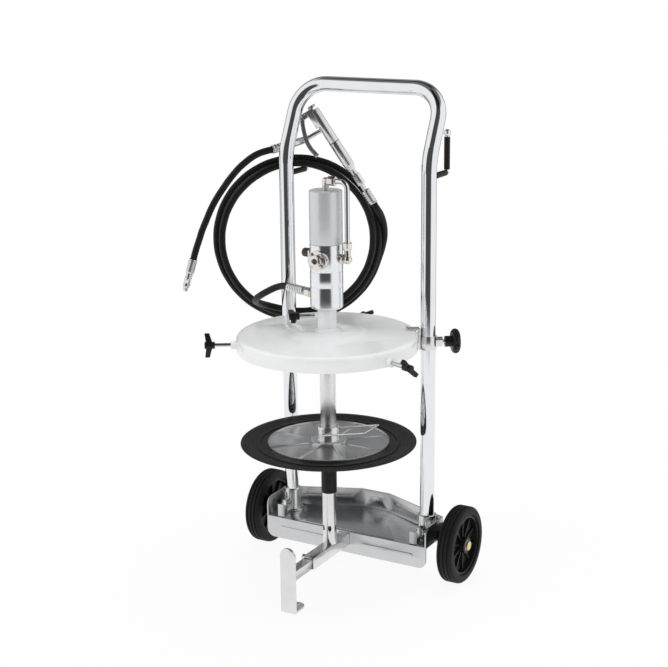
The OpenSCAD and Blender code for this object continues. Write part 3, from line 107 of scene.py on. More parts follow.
class Sock:
    """One output socket, on which Python's operators add Math nodes."""

    def __init__(self, graph: "Graph", socket: bpy.types.NodeSocket) -> None:
        """Keeps the socket and the graph that it belongs to."""
        self.graph = graph
        self.socket = socket

    def _math(self, operation: str, first: Any, second: Any) -> "Sock":
        """Adds one Math node and returns its output."""
        return self.graph.out("ShaderNodeMath", {"operation": operation}, {0: first, 1: second})

    def __add__(self, other: Any) -> "Sock":
        """Returns this plus other."""
        return self._math("ADD", self, other)

    __radd__ = __add__

    def __sub__(self, other: Any) -> "Sock":
        """Returns this less other."""
        return self._math("SUBTRACT", self, other)

    def __rsub__(self, other: Any) -> "Sock":
        """Returns other less this."""
        return self._math("SUBTRACT", other, self)

    def __mul__(self, other: Any) -> "Sock":
        """Returns this times other."""
        return self._math("MULTIPLY", self, other)

    __rmul__ = __mul__

    def __pow__(self, other: Any) -> "Sock":
        """Returns this to the power of other."""
        return self._math("POWER", self, other)

    def ramp(self, low: float, high: float) -> "Sock":
        """Goes smoothly from 0 at low to 1 at high.

        Args:
            low: The value that gives 0.
            high: The value that gives 1.

        Returns:
            The smoothed value.
        """
        return self.graph.out(
            "ShaderNodeMapRange", {"interpolation_type": "SMOOTHSTEP"}, {0: self, 1: low, 2: high}
        )


class Graph:
    """A node tree that is filled from Python expressions."""

    def __init__(self, tree: bpy.types.NodeTree) -> None:
        """Empties the tree.

        Args:
            tree: The node tree of a material or of the world.
        """
        self.tree = tree
        tree.nodes.clear()

    def node(
        self, kind: str, settings: dict | None = None, sockets: dict | None = None
    ) -> bpy.types.Node:
        """Adds one node, its settings first and then its sockets.

        Args:
            kind: The node's type.
            settings: The node's own properties, or a ramp's stops.
            sockets: Values or links, by socket name or number.

        Returns:
            The new node.
        """
        made = self.tree.nodes.new(kind)
        for name, value in (settings or {}).items():
            setattr(made, name, value)
        for name, value in (sockets or {}).items():
            socket = made.inputs[name]
            if isinstance(value, Sock):
                self.tree.links.new(value.socket, socket)
            else:
                socket.default_value = value
        return made

    def out(
        self, kind: str, settings: dict | None = None, sockets: dict | None = None, pick: int | str = 0
    ) -> Sock:
        """Adds one node and returns one of its outputs.

        Args:
            kind: The node's type.
            settings: The node's own properties.
            sockets: Values or links, by socket name or number.
            pick: The output's name or number.

        Returns:
            The output as a socket wrapper.
        """
        return Sock(self, self.node(kind, settings, sockets).outputs[pick])

    def place(self, scale: Sequence[float] = (1, 1, 1), shift: Sequence[float] = (0, 0, 0)) -> Sock:
        """Object coordinates, shifted and then scaled by axis.

        Args:
            scale: The scale along each axis.
            shift: The point that becomes the pattern's middle.

        Returns:
            The coordinates.
        """
        raw = self.out("ShaderNodeTexCoord", pick="Object")
        moved = self.out("ShaderNodeVectorMath", {"operation": "SUBTRACT"}, {0: raw, 1: tuple(shift)})
        return self.out("ShaderNodeVectorMath", {"operation": "MULTIPLY"}, {0: moved, 1: tuple(scale)})

    def noise(self, where: Sock, size: float, detail: float = 3.0, rough: float = 0.55) -> Sock:
        """Soft noise from 0 to 1.

        Args:
            where: The coordinates.
            size: The size of one blotch in metres.
            detail: How many finer layers it has.
            rough: How strong the finer layers are.

        Returns:
            The noise.
        """
        return self.out(
            "ShaderNodeTexNoise", None,
            {"Vector": where, "Scale": 1 / size, "Detail": detail, "Roughness": rough},
        )

    def mix(self, share: Any, first: Any, second: Any) -> Sock:
        """Mixes two colours.

        Args:
            share: The second colour's share.
            first: The first colour.
            second: The second colour.

        Returns:
            The mixed colour.
        """
        return self.out("ShaderNodeMix", {"data_type": "RGBA"}, {0: share, 6: first, 7: second}, pick=2)


@dataclass(frozen=True)
class Finish:
    """One surface finish of the pump, as its own material."""

    name: str
    colour: tuple[float, float, float]
    grain: Grain
    grain_size: float
    relief: float
    metallic: float = 0.0
    roughness: float = 0.4
    rough_swing: float = 0.06
    tone_swing: float = 0.05
    blotch: float = 0.04
    lay: Axis = Axis.Z
    stretch: float = 0.03
    coat: float = 0.0
    shine: float = 0.5

    def height(self, graph: Graph) -> Sock:
        """The fine relief of this grain, from 0 to 1.

        Args:
            graph: The material's graph.

        Returns:
            The height.
        """
        if self.grain is Grain.BRUSHED:
            scale = [1.0, 1.0, 1.0]
            scale[self.lay.value] = self.stretch
            return graph.noise(graph.place(scale), self.grain_size, detail=4.0, rough=0.6)
        if self.grain is Grain.TURNED:
            scale = [TURNED_SCALE] * 3
            scale[self.lay.value] = 1.0
            return graph.noise(graph.place(scale), self.grain_size, detail=2.0, rough=0.7)
        if self.grain is Grain.SINTERED:
            cells = graph.out(
                "ShaderNodeTexVoronoi", {"feature": "F1"},
                {"Vector": graph.place(), "Scale": 1 / self.grain_size},
            )
            return 1 - cells
        if self.grain is Grain.WRAPPED:
            cloth = graph.noise(graph.place(), self.grain_size, detail=2.0, rough=0.5)
            ribs = graph.noise(graph.place((1, 1, 3)), self.grain_size * 4, detail=1.0, rough=0.4)
            return cloth * CLOTH_SHARE + ribs * RIB_SHARE
        detail = 1.0 if self.grain is Grain.POLISHED else 3.0
        return graph.noise(graph.place(), self.grain_size, detail, rough=0.5)

    def build(self) -> bpy.types.Material:
        """Makes the material with its colour, gloss and relief.

        Returns:
            The material.
        """
        material = bpy.data.materials.new(self.name)
        material.use_nodes = True
        graph = Graph(material.node_tree)
        height = self.height(graph)
        cloud = graph.noise(graph.place(), self.blotch, detail=3.0, rough=0.6)
        fine = graph.noise(graph.place(), self.blotch / FINE_TIMES, detail=2.0, rough=0.5)
        light = [min(1.0, c * (1 + self.tone_swing)) for c in self.colour]
        dark = [c * (1 - self.tone_swing) for c in self.colour]
        share = (cloud * CLOUD_SHARE + height * GRAIN_SHARE).ramp(TONE_LOW, TONE_HIGH)
        tone = graph.mix(share, (*dark, 1), (*light, 1))
        rough = (cloud * 0.5 + fine * 0.5 - 0.5) * (4 * self.rough_swing) + self.roughness
        bump = graph.out(
            "ShaderNodeBump", None, {"Strength": 1.0, "Distance": self.relief, "Height": height}
        )
        shader = graph.out(
            "ShaderNodeBsdfPrincipled", None,
            {
                "Base Color": tone, "Roughness": rough, "Metallic": self.metallic,
                "Coat Weight": self.coat, "Coat Roughness": COAT_ROUGHNESS,
                "Specular IOR Level": self.shine, "Normal": bump,
            },
        )
        graph.node("ShaderNodeOutputMaterial", None, {"Surface": shader})
        return material


class Finishes:
    """Every finish of the pump, made once each when it is first asked for."""

    LIST: tuple[Finish, ...] = (
        Finish(
            "chrome_tube", (0.80, 0.81, 0.83), Grain.POLISHED, grain_size=0.05, relief=0.00003,
            metallic=1.0, roughness=0.07, rough_swing=0.02, tone_swing=0.02,
        ),
        Finish(
            "zinc_sheet", (0.60, 0.61, 0.62), Grain.BRUSHED, grain_size=0.0012, relief=0.00001,
            metallic=1.0, roughness=0.30, rough_swing=0.05, tone_swing=0.05, blotch=0.06,
            lay=Axis.X,
        ),
        Finish(
            "zinc_steel", (0.74, 0.74, 0.74), Grain.BRUSHED, grain_size=0.0009, relief=0.00001,
            metallic=1.0, roughness=0.24, rough_swing=0.06, tone_swing=0.04,
        ),
        Finish(
            "black_paint", (0.012, 0.012, 0.013), Grain.SPRAYED, grain_size=0.002, relief=0.00002,
            roughness=0.42, shine=0.25,
        ),
        Finish(
            "tyre", (0.012, 0.012, 0.013), Grain.MOULDED, grain_size=0.0011, relief=0.00007,
            roughness=0.62, rough_swing=0.05, tone_swing=0.2, shine=0.2,
        ),
        Finish(
            "wheel_plastic", (0.008, 0.008, 0.009), Grain.MOULDED, grain_size=0.0012,
            relief=0.00004, roughness=0.4, rough_swing=0.05, tone_swing=0.15, shine=0.2,
        ),
        Finish(
            "bush_plastic", (0.62, 0.60, 0.55), Grain.MOULDED, grain_size=0.001, relief=0.00002,
            roughness=0.5,
        ),
        Finish(
            "yellow_zinc", (0.72, 0.62, 0.30), Grain.POLISHED, grain_size=0.004, relief=0.00002,
            metallic=0.9, roughness=0.3,
        ),
        Finish(
            "cover_paint", (0.90, 0.905, 0.91), Grain.SPRAYED, grain_size=0.0022, relief=0.00002,
            roughness=0.24, rough_swing=0.03, tone_swing=0.015, blotch=0.09, coat=0.5,
        ),
        Finish(
            "knob_plastic", (0.009, 0.009, 0.010), Grain.MOULDED, grain_size=0.0008,
            relief=0.00003, roughness=0.34, rough_swing=0.05, tone_swing=0.15, shine=0.25,
        ),
        Finish(
            "motor_paint", (0.66, 0.67, 0.68), Grain.SPRAYED, grain_size=0.0009, relief=0.00002,
            metallic=0.45, roughness=0.36, rough_swing=0.04, tone_swing=0.03,
        ),
        Finish(
            "machined_aluminium", (0.80, 0.81, 0.83), Grain.TURNED, grain_size=0.0006,
            relief=0.00002, metallic=1.0, roughness=0.2, rough_swing=0.05, tone_swing=0.05,
        ),
        Finish(
            "nickel", (0.74, 0.71, 0.67), Grain.POLISHED, grain_size=0.006, relief=0.00002,
            metallic=1.0, roughness=0.16, rough_swing=0.04, tone_swing=0.04,
        ),
        Finish(
            "dark_steel", (0.10, 0.095, 0.09), Grain.SINTERED, grain_size=0.0011, relief=0.00025,
            metallic=0.8, roughness=0.55, rough_swing=0.05, tone_swing=0.2,
        ),
        Finish(
            "brass", (0.66, 0.54, 0.24), Grain.TURNED, grain_size=0.0008, relief=0.00002,
            metallic=1.0, roughness=0.24, rough_swing=0.05, tone_swing=0.06,
        ),
        Finish(
            "sleeve_rubber", (0.012, 0.011, 0.010), Grain.MOULDED, grain_size=0.0015,
            relief=0.00003, roughness=0.5, rough_swing=0.05, tone_swing=0.15, shine=0.2,
        ),
        Finish(
            "follower_rubber", (0.012, 0.011, 0.010), Grain.MOULDED, grain_size=0.003,
            relief=0.00005, roughness=0.42, rough_swing=0.06, tone_swing=0.2, shine=0.25,
        ),
        Finish(
            "hose_rubber", (0.010, 0.0095, 0.009), Grain.WRAPPED, grain_size=0.0009,
            relief=0.00012, roughness=0.42, rough_swing=0.07, tone_swing=0.25, blotch=0.02,
            shine=0.22,
        ),
        Finish(
            "seal_steel", (0.55, 0.55, 0.56), Grain.POLISHED, grain_size=0.003, relief=0.00001,
            metallic=1.0, roughness=0.25,
        ),
    )

    def __init__(self) -> None:
        """Starts with no material made."""
        self._by_name = {finish.name: finish for finish in self.LIST}
        self._made: dict[str, bpy.types.Material] = {}

    def get(self, name: str) -> bpy.types.Material:
        """Gives the material of that name.

        Args:
            name: A finish's name, which is also a slot of the record.

        Returns:
            The material, made at the first call.
        """
        if name not in self._made:
            self._made[name] = self._by_name[name].build()
        return self._made[name]


FINISHES = Finishes()


def aim(start: Sequence[float], end: Sequence[float]) -> Matrix:
    """The transform that lays local +Z from start towards end.

    Args:
        start: The point that the local origin goes to.
        end: A point that +Z goes through.

    Returns:
        The transform.
    """
    run = Vector(end) - Vector(start)
    return Matrix.Translation(Vector(start)) @ run.to_track_quat("Z", "Y").to_matrix().to_4x4()


class Shape:
    """A mesh in the making, with the operators that shape it."""

    # The chamfer of a bar with flats, as a share of its width
    CHAMFER_SHARE = 0.05
    # The rounding of a strip's edges, as a share of its thinner side
    STRIP_ROUNDING_SHARE = 0.25

    def __init__(self) -> None:
        """Starts an empty mesh."""
        self.bm = bmesh.new()

    def lathe(self, profile: Iterable[Sequence[float]], steps: int = 48) -> "Shape":
        """Spins a profile round +Z.

        Args:
            profile: Pairs of radius and height, from one end to the other.
            steps: The number of sides.

        Returns:
            This shape.
        """
        part = bmesh.new()
        verts = [part.verts.new((r, 0, z)) for r, z in profile]
        edges = [part.edges.new(pair) for pair in zip(verts, verts[1:])]
        bmesh.ops.spin(
            part, geom=verts + edges, axis=(0, 0, 1), cent=(0, 0, 0), angle=2 * math.pi,
            steps=steps, use_merge=True,
        )
        return self.join(part)

    def sector(
        self, profile: Iterable[Sequence[float]], start: float, turn: float, steps: int
    ) -> "Shape":
        """Spins a closed outline round +Z through part of a turn.

        Args:
            profile: Pairs of radius and height, all round the outline.
            start: The angle where the piece starts.
            turn: The angle that it spans.
            steps: The number of sides.

        Returns:
            This shape.
        """
        part = bmesh.new()
        face = part.faces.new([part.verts.new((r, 0, z)) for r, z in profile])
        bmesh.ops.rotate(part, verts=part.verts, cent=(0, 0, 0), matrix=Matrix.Rotation(start, 3, "Z"))
        bmesh.ops.spin(
            part, geom=list(part.verts) + list(part.edges) + [face], axis=(0, 0, 1), cent=(0, 0, 0),
            angle=turn, steps=steps, use_merge=False,
        )
        return self.join(part)

    def prism(self, sides: int, flats: float, low: float, high: float) -> "Shape":
        """Adds a bar with flat sides along +Z.

        Args:
            sides: The number of flats.
            flats: The width across the flats.
            low: The lower end's height.
            high: The upper end's height.

        Returns:
            This shape.
        """
        part = bmesh.new()
        radius = flats / 2 / math.cos(math.pi / sides)
        bmesh.ops.create_cone(
            part, cap_ends=True, segments=sides, radius1=radius, radius2=radius, depth=high - low,
            matrix=Matrix.Translation((0, 0, (low + high) / 2)),
        )
        bmesh.ops.bevel(
            part, geom=[e for e in part.edges], offset=flats * self.CHAMFER_SHARE, affect="EDGES",
            segments=ROUNDING_FACES, profile=0.5, material=-1, clamp_overlap=True,
        )
        return self.join(part)

    def strip(
        self, line: Sequence[Vector], thick: float, wide: float, out: float = 0, side: float = 0
    ) -> "Shape":
        """Adds a bent strip that follows a line in the local XZ plane.

        Args:
            line: The points of its middle.
            thick: Its thickness.
            wide: Its width along Y.
            out: How far it lies beside the line in the line's plane.
            side: How far it lies beside that plane.

        Returns:
            This shape.
        """
        part = bmesh.new()
        row = []
        for i, point in enumerate(line):
            run = (line[min(i + 1, len(line) - 1)] - line[max(i - 1, 0)]).normalized()
            normal = Vector((-run.z, 0, run.x))
            base = point + normal * out + Vector((0, side - wide / 2, 0))
            half = normal * thick / 2
            row.append((part.verts.new(base + half), part.verts.new(base - half)))
        faces = [part.faces.new((a[0], a[1], b[1], b[0])) for a, b in zip(row, row[1:])]
        grown = bmesh.ops.extrude_face_region(part, geom=faces)
        moved = [v for v in grown["geom"] if isinstance(v, bmesh.types.BMVert)]
        bmesh.ops.translate(part, verts=moved, vec=(0, wide, 0))
        return self.join(part).soften(min(thick, wide) * self.STRIP_ROUNDING_SHARE)

    def join(self, part: bmesh.types.BMesh) -> "Shape":
        """Adds another mesh, with its doubles merged and its faces turned outwards.

        Args:
            part: The mesh, which is used up.

        Returns:
            This shape.
        """
        bmesh.ops.remove_doubles(part, verts=part.verts, dist=MERGE_DIST)
        bmesh.ops.recalc_face_normals(part, faces=part.faces)
        mesh = bpy.data.meshes.new("joined")
        part.to_mesh(mesh)
        part.free()
        self.bm.from_mesh(mesh)
        bpy.data.meshes.remove(mesh)
        return self

    def soften(self, width: float) -> "Shape":
        """Rounds every sharp edge.

        Args:
            width: The width of the rounding.

        Returns:
            This shape.
        """
        sharp = [
            e for e in self.bm.edges
            if len(e.link_faces) == 2 and e.calc_face_angle(0) > ROUNDING_ANGLE
        ]
        bmesh.ops.bevel(
            self.bm, geom=sharp, offset=width, affect="EDGES", segments=ROUNDING_FACES, profile=0.5,
            material=-1, clamp_overlap=True,
        )
        return self

    def put(self, where: Matrix) -> "Shape":
        """Moves the whole shape to its place."""
        self.bm.transform(where)
        return self

    def finish(self, name: str, finish: str, body: str, *replaced: str) -> bpy.types.Object:
        """Makes the shape a piece of the pump.

        Args:
            name: The piece's name.
            finish: Its finish, which is also its slot.
            body: The body that it rides on.
            replaced: The CAD nodes that it stands for.

        Returns:
            The new object.
        """
        mesh = bpy.data.meshes.new(name)
        self.bm.to_mesh(mesh)
        self.bm.free()
        mesh.shade_smooth()
        mesh.set_sharp_from_angle(angle=CREASE_ANGLE)
        mesh.materials.append(FINISHES.get(finish))
        piece = bpy.data.objects.new(name, mesh)
        bpy.context.scene.collection.objects.link(piece)
        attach(piece, body)
        if replaced:
            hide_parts(*replaced)
        LOG.info("%s: %d faces on %s", name, len(mesh.polygons), body)
        return piece


def rounded_copy(node: str, finish: str, body: str, width: float) -> bpy.types.Object:
    """A copy of a CAD node whose edges are rounded as on a real pressing or turned piece.

    Args:
        node: The CAD node.
        finish: The copy's finish.
        body: The body that it rides on.
        width: The width of the rounding.

    Returns:
        The copy, which stands for the node.
    """
    shape = Shape()
    shape.bm.from_mesh(frame["nodes"][node].data)
    bmesh.ops.remove_doubles(shape.bm, verts=shape.bm.verts, dist=NODE_MERGE_DIST)
    bmesh.ops.dissolve_limit(
        shape.bm, angle_limit=FLAT_ANGLE, verts=shape.bm.verts, edges=shape.bm.edges,
    )
    shape.soften(width)
    return shape.finish(node + "_soft", finish, body, node)


def body_of(node: str) -> str:
    """The body that a CAD node belongs to."""
    bodies = frame["record"]["behaviour"]["bodies"]
    return next(name for name, nodes in bodies.items() if node in nodes)


@dataclass
class Studio:
    """The camera, the pale floor and the soft lamps."""

    target: Vector = field(default_factory=lambda: Vector((0.01148, 0.15061, 0.53285)))
    right: Vector = field(default_factory=lambda: Vector((0.86817, 0.49615, -0.01079)))
    up: Vector = field(default_factory=lambda: Vector((-0.11967, 0.23051, 0.96568)))
    back: Vector = field(default_factory=lambda: Vector((0.48160, -0.83711, 0.25949)))
    distance: float = 2.90838
    lens_mm: float = 79.19
    floor_half: float = 40.0
    floor_near: float = 0.45
    floor_far: float = 1.5
    ceiling: tuple[float, float] = (0.70, 0.85)
    ceiling_depth: float = 0.85
    flag_list: tuple[tuple[float, float, float, float], ...] = (
        (math.radians(-9), math.radians(40), math.radians(5), 0.93),
        (math.radians(152), math.radians(13), math.radians(6), 0.8),
        (math.radians(-152), math.radians(13), math.radians(6), 0.8),
        (math.radians(180), math.radians(14), math.radians(7), 0.7),
    )
    flag_reach: tuple[float, float] = (1.5, 2.3)
    world_light: float = 0.70
    paper_tone: float = 0.93
    floor_white: float = 0.92
    view_far: float = 200.0
    lamps: tuple[tuple[str, tuple[float, float, float], float, float], ...] = (
        ("key", (-1.6, -2.0, 2.3), 1.6, 18.0),
        ("fill", (2.4, -1.2, 1.4), 1.8, 6.0),
        ("top", (0.2, 0.8, 2.8), 1.4, 17.0),
    )

    def add_camera(self) -> None:
        """Adds the camera at the photograph's viewing angle."""
        data = bpy.data.cameras.new("camera")
        data.lens = self.lens_mm
        data.sensor_fit = "HORIZONTAL"
        data.clip_end = self.view_far
        camera = bpy.data.objects.new("camera", data)
        turn = Matrix((self.right, self.up, self.back)).transposed().to_4x4()
        camera.matrix_world = Matrix.Translation(self.target + self.back * self.distance) @ turn
        bpy.context.scene.collection.objects.link(camera)
        bpy.context.scene.camera = camera

    def add_lamp(self, name: str, place: Sequence[float], size: float, watts: float) -> None:
        """Adds one soft lamp that points at the pump.

        Args:
            name: The lamp's name.
            place: Where it stands.
            size: The side of its square face.
            watts: Its power.
        """
        data = bpy.data.lights.new(name, "AREA")
        data.size = size
        data.energy = watts
        lamp = bpy.data.objects.new(name, data)
        lamp.visible_glossy = False
        run = self.target - Vector(place)
        lamp.matrix_world = (
            Matrix.Translation(Vector(place)) @ run.to_track_quat("-Z", "Y").to_matrix().to_4x4()
        )
        bpy.context.scene.collection.objects.link(lamp)

    def flags(self, graph: Graph, way: Sock) -> Sock:
        """How dark the surround is in a direction, as soft upright flags.

        Args:
            graph: The graph of the world or of the floor.
            way: A direction or a point, seen from the pump.

        Returns:
            The darkness, from 0 to 1.
        """
        level = graph.out("ShaderNodeVectorMath", {"operation": "MULTIPLY"}, {0: way, 1: (1, 1, 0)})
        flat = graph.out("ShaderNodeVectorMath", {"operation": "NORMALIZE"}, {0: level})
        side = self.right.xy.normalized()
        front = self.back.xy.normalized()
        light: Any = 1.0
        for turn, half, soft, depth in self.flag_list:
            flag = side * math.sin(turn) + front * math.cos(turn)
            dot = graph.out(
                "ShaderNodeVectorMath", {"operation": "DOT_PRODUCT"}, {0: flat, 1: (flag.x, flag.y, 0)},
                pick="Value",
            )
            light = (1 - dot.ramp(math.cos(half + soft), math.cos(half - soft)) * depth) * light
        return 1 - light

    def add_world(self) -> None:
        """Adds a white surround with dark flags and a dark ceiling that only mirrors show."""
        world = bpy.data.worlds.new("surround")
        bpy.context.scene.world = world
        world.use_nodes = True
        graph = Graph(world.node_tree)
        way = graph.out("ShaderNodeTexCoord", pick="Generated")
        split = graph.node("ShaderNodeSeparateXYZ", None, {"Vector": way})
        height = Sock(graph, split.outputs["Z"])
        flags = 1 - self.flags(graph, way)
        shade = 1 - flags * (1 - height.ramp(*self.ceiling) * self.ceiling_depth)
        path = graph.node("ShaderNodeLightPath")
        camera = Sock(graph, path.outputs["Is Camera Ray"])
        mirror = Sock(graph, path.outputs["Is Glossy Ray"])
        glass = Sock(graph, path.outputs["Is Transmission Ray"])
        other = (1 - camera - mirror - glass) * self.world_light
        strength = camera + glass + mirror * (1 - shade) + other
        sky = graph.out("ShaderNodeBackground", None, {"Color": (1, 1, 1, 1), "Strength": strength})
        graph.node("ShaderNodeOutputWorld", None, {"Surface": sky})

    def add_floor(self) -> None:
        """Adds the pale floor, which fades to white away from the pump."""
        bm = bmesh.new()
        bmesh.ops.create_grid(bm, x_segments=2, y_segments=2, size=self.floor_half)
        mesh = bpy.data.meshes.new("floor")
        bm.to_mesh(mesh)
        bm.free()
        material = bpy.data.materials.new("floor_paper")
        material.use_nodes = True
        graph = Graph(material.node_tree)
        spot = graph.place(shift=(0, self.target.y, 0))
        reach = graph.out("ShaderNodeVectorMath", {"operation": "LENGTH"}, {0: spot}, pick="Value")
        path = graph.node("ShaderNodeLightPath")
        camera = Sock(graph, path.outputs["Is Camera Ray"])
        mirror = Sock(graph, path.outputs["Is Glossy Ray"])
        paper = graph.out("ShaderNodeBsdfDiffuse", None, {"Color": (*[self.paper_tone] * 3, 1)})
        strength = 1 - self.flags(graph, spot) * reach.ramp(*self.flag_reach) * mirror
        tone = graph.mix(strength, (0, 0, 0, 1), (1, 1, 1, 1))
        white = graph.out("ShaderNodeEmission", None, {"Color": tone, "Strength": 1.0})
        fade = reach.ramp(self.floor_near, self.floor_far)
        share = (fade * (1 - self.floor_white) + self.floor_white) * camera + mirror
        mixed = graph.out("ShaderNodeMixShader", None, {0: share, 1: paper, 2: white})
        graph.node("ShaderNodeOutputMaterial", None, {"Surface": mixed})
        mesh.materials.append(material)
        floor = bpy.data.objects.new("floor", mesh)
        bpy.context.scene.collection.objects.link(floor)

    def build(self) -> None:
        """Makes the whole studio."""
        scene = bpy.context.scene
        scene.view_settings.view_transform = "Standard"
        self.add_camera()
        self.add_world()
        self.add_floor()
        for name, place, size, watts in self.lamps:
            self.add_lamp(name, place, size, watts)
        LOG.info("studio ready")


@dataclass
class ControlGun:
    """The gun's own frame and lengths: Z runs along the barrel and X towards the lever."""

    head: Vector = field(default_factory=lambda: Vector((-0.1308, 0.324, 0.9483)))
    yaw: float = math.radians(27.2)
    tilt: float = math.radians(147.7)
    barrel_d: float = 0.022
    barrel_l: float = 0.077
    ferrule_z: float = 0.1966
    tail_z: float = 0.2286
    lever_pin_x: float = 0.022
    lever_reach: float = 0.026
    lever_length: float = 0.084
    lever_width: float = 0.010
    lever_depth: float = 0.008
    lever_wall: float = 0.0016
    lever_bow_shares: tuple[tuple[float, float], ...] = (
        (0, 0), (0.34, 0.06), (0.7, 0.3), (0.96, 0.57), (1, 0.76), (0.88, 1),
    )
    lever_steps: int = 6
    eye_r: float = 0.0041
    eye_half: float = 0.0062
    eye_chamfer: tuple[float, float] = (0.0005, 0.0006)
    eye_sides: int = 32
    plug_ends: tuple[float, float] = (-0.0105, -0.005)
    plug_core_share: float = 0.7
    plug_rib_share: float = 0.78
    plug_ribs: int = 4
    plug_rib_start: float = -0.0100
    plug_rib_pitch: float = 0.0012
    plug_rib_w: float = 0.0005
    plug_rib_foot: float = 0.0007
    seam_depth: float = 0.0012
    seam_proud: float = 0.00015
    seam_ends: tuple[float, float] = (-0.0003, 0.0009)

    def frame(self) -> Matrix:
        """The transform from the gun's frame to the part's."""
        turn = Matrix.Rotation(self.yaw, 4, "Z") @ Matrix.Rotation(self.tilt, 4, "Y")
        return Matrix.Translation(self.head) @ turn

    def point(self, along: float) -> Vector:
        """A point on the barrel's line."""
        return self.frame() @ Vector((0, 0, along))

    def bow(self, steps: int) -> list[Vector]:
        """The lever's curved line, smooth through its shares.

        Args:
            steps: The points in each stretch.

        Returns:
            The points in the gun's frame.
        """
        knots = [
            Vector((self.lever_pin_x + x * self.lever_reach, 0, z * self.lever_length))
            for x, z in self.lever_bow_shares
        ]
        ends = [2 * knots[0] - knots[1], *knots, 2 * knots[-1] - knots[-2]]
        line = []
        for a, b, c, d in zip(ends, ends[1:], ends[2:], ends[3:]):
            for i in range(steps):
                t = i / steps
                line.append(
                    0.5 * (2 * b + (c - a) * t + (2 * a - 5 * b + 4 * c - d) * t * t
                           + (3 * b - a - 3 * c + d) * t * t * t)
                )
        return line + [knots[-1]]

    def build(self) -> None:
        """Adds the lever, the ribbed plug and the barrel's dark seam."""
        self.add_lever()
        self.add_plug()
        self.add_seam()

    def add_lever(self) -> None:
        """Adds the lever, a bent channel with a round eye at its pin."""
        wall, line = self.lever_wall, self.bow(self.lever_steps)
        lever = Shape().strip(line, wall, self.lever_width, out=(wall - self.lever_depth) / 2)
        for side in (-1, 1):
            lever.strip(line, self.lever_depth, wall, side=side * (self.lever_width - wall) / 2)
        inset, drop = self.eye_chamfer
        face, rim = self.eye_half, self.eye_half - drop
        eye = Shape().lathe(
            [(0, -face), (self.eye_r - inset, -face), (self.eye_r, -rim), (self.eye_r, rim),
             (self.eye_r - inset, face), (0, face)],
            self.eye_sides,
        )
        eye.put(Matrix.Translation((self.lever_pin_x, 0, 0)) @ Matrix.Rotation(math.pi / 2, 4, "X"))
        lever.join(eye.bm)
        lever.put(self.frame()).finish("gun_lever_strip", "zinc_steel", "gun_trigger", "gun_lever")

    def add_plug(self) -> None:
        """Adds the ribbed plug at the head's outer end."""
        low, high = self.plug_ends
        core = self.barrel_d / 2 * self.plug_core_share
        rib = self.barrel_d / 2 * self.plug_rib_share
        plug = [(0, low), (core, low)]
        for i in range(self.plug_ribs):
            z = self.plug_rib_start + i * self.plug_rib_pitch
            plug += [(rib, z), (rib, z + self.plug_rib_w), (core, z + self.plug_rib_foot)]
        plug += [(core, high), (0, high)]
        Shape().lathe(plug).put(self.frame()).finish("gun_plug", "zinc_steel", "trolley")

    def add_seam(self) -> None:
        """Adds the dark seam between the head and the barrel."""
        low, high = (self.barrel_l + end for end in self.seam_ends)
        inner = self.barrel_d / 2 - self.seam_depth
        outer = self.barrel_d / 2 + self.seam_proud
        seam = [(inner, low), (outer, low), (outer, high), (inner, high), (inner, low)]
        Shape().lathe(seam).put(self.frame()).finish("gun_seam", "sleeve_rubber", "trolley")


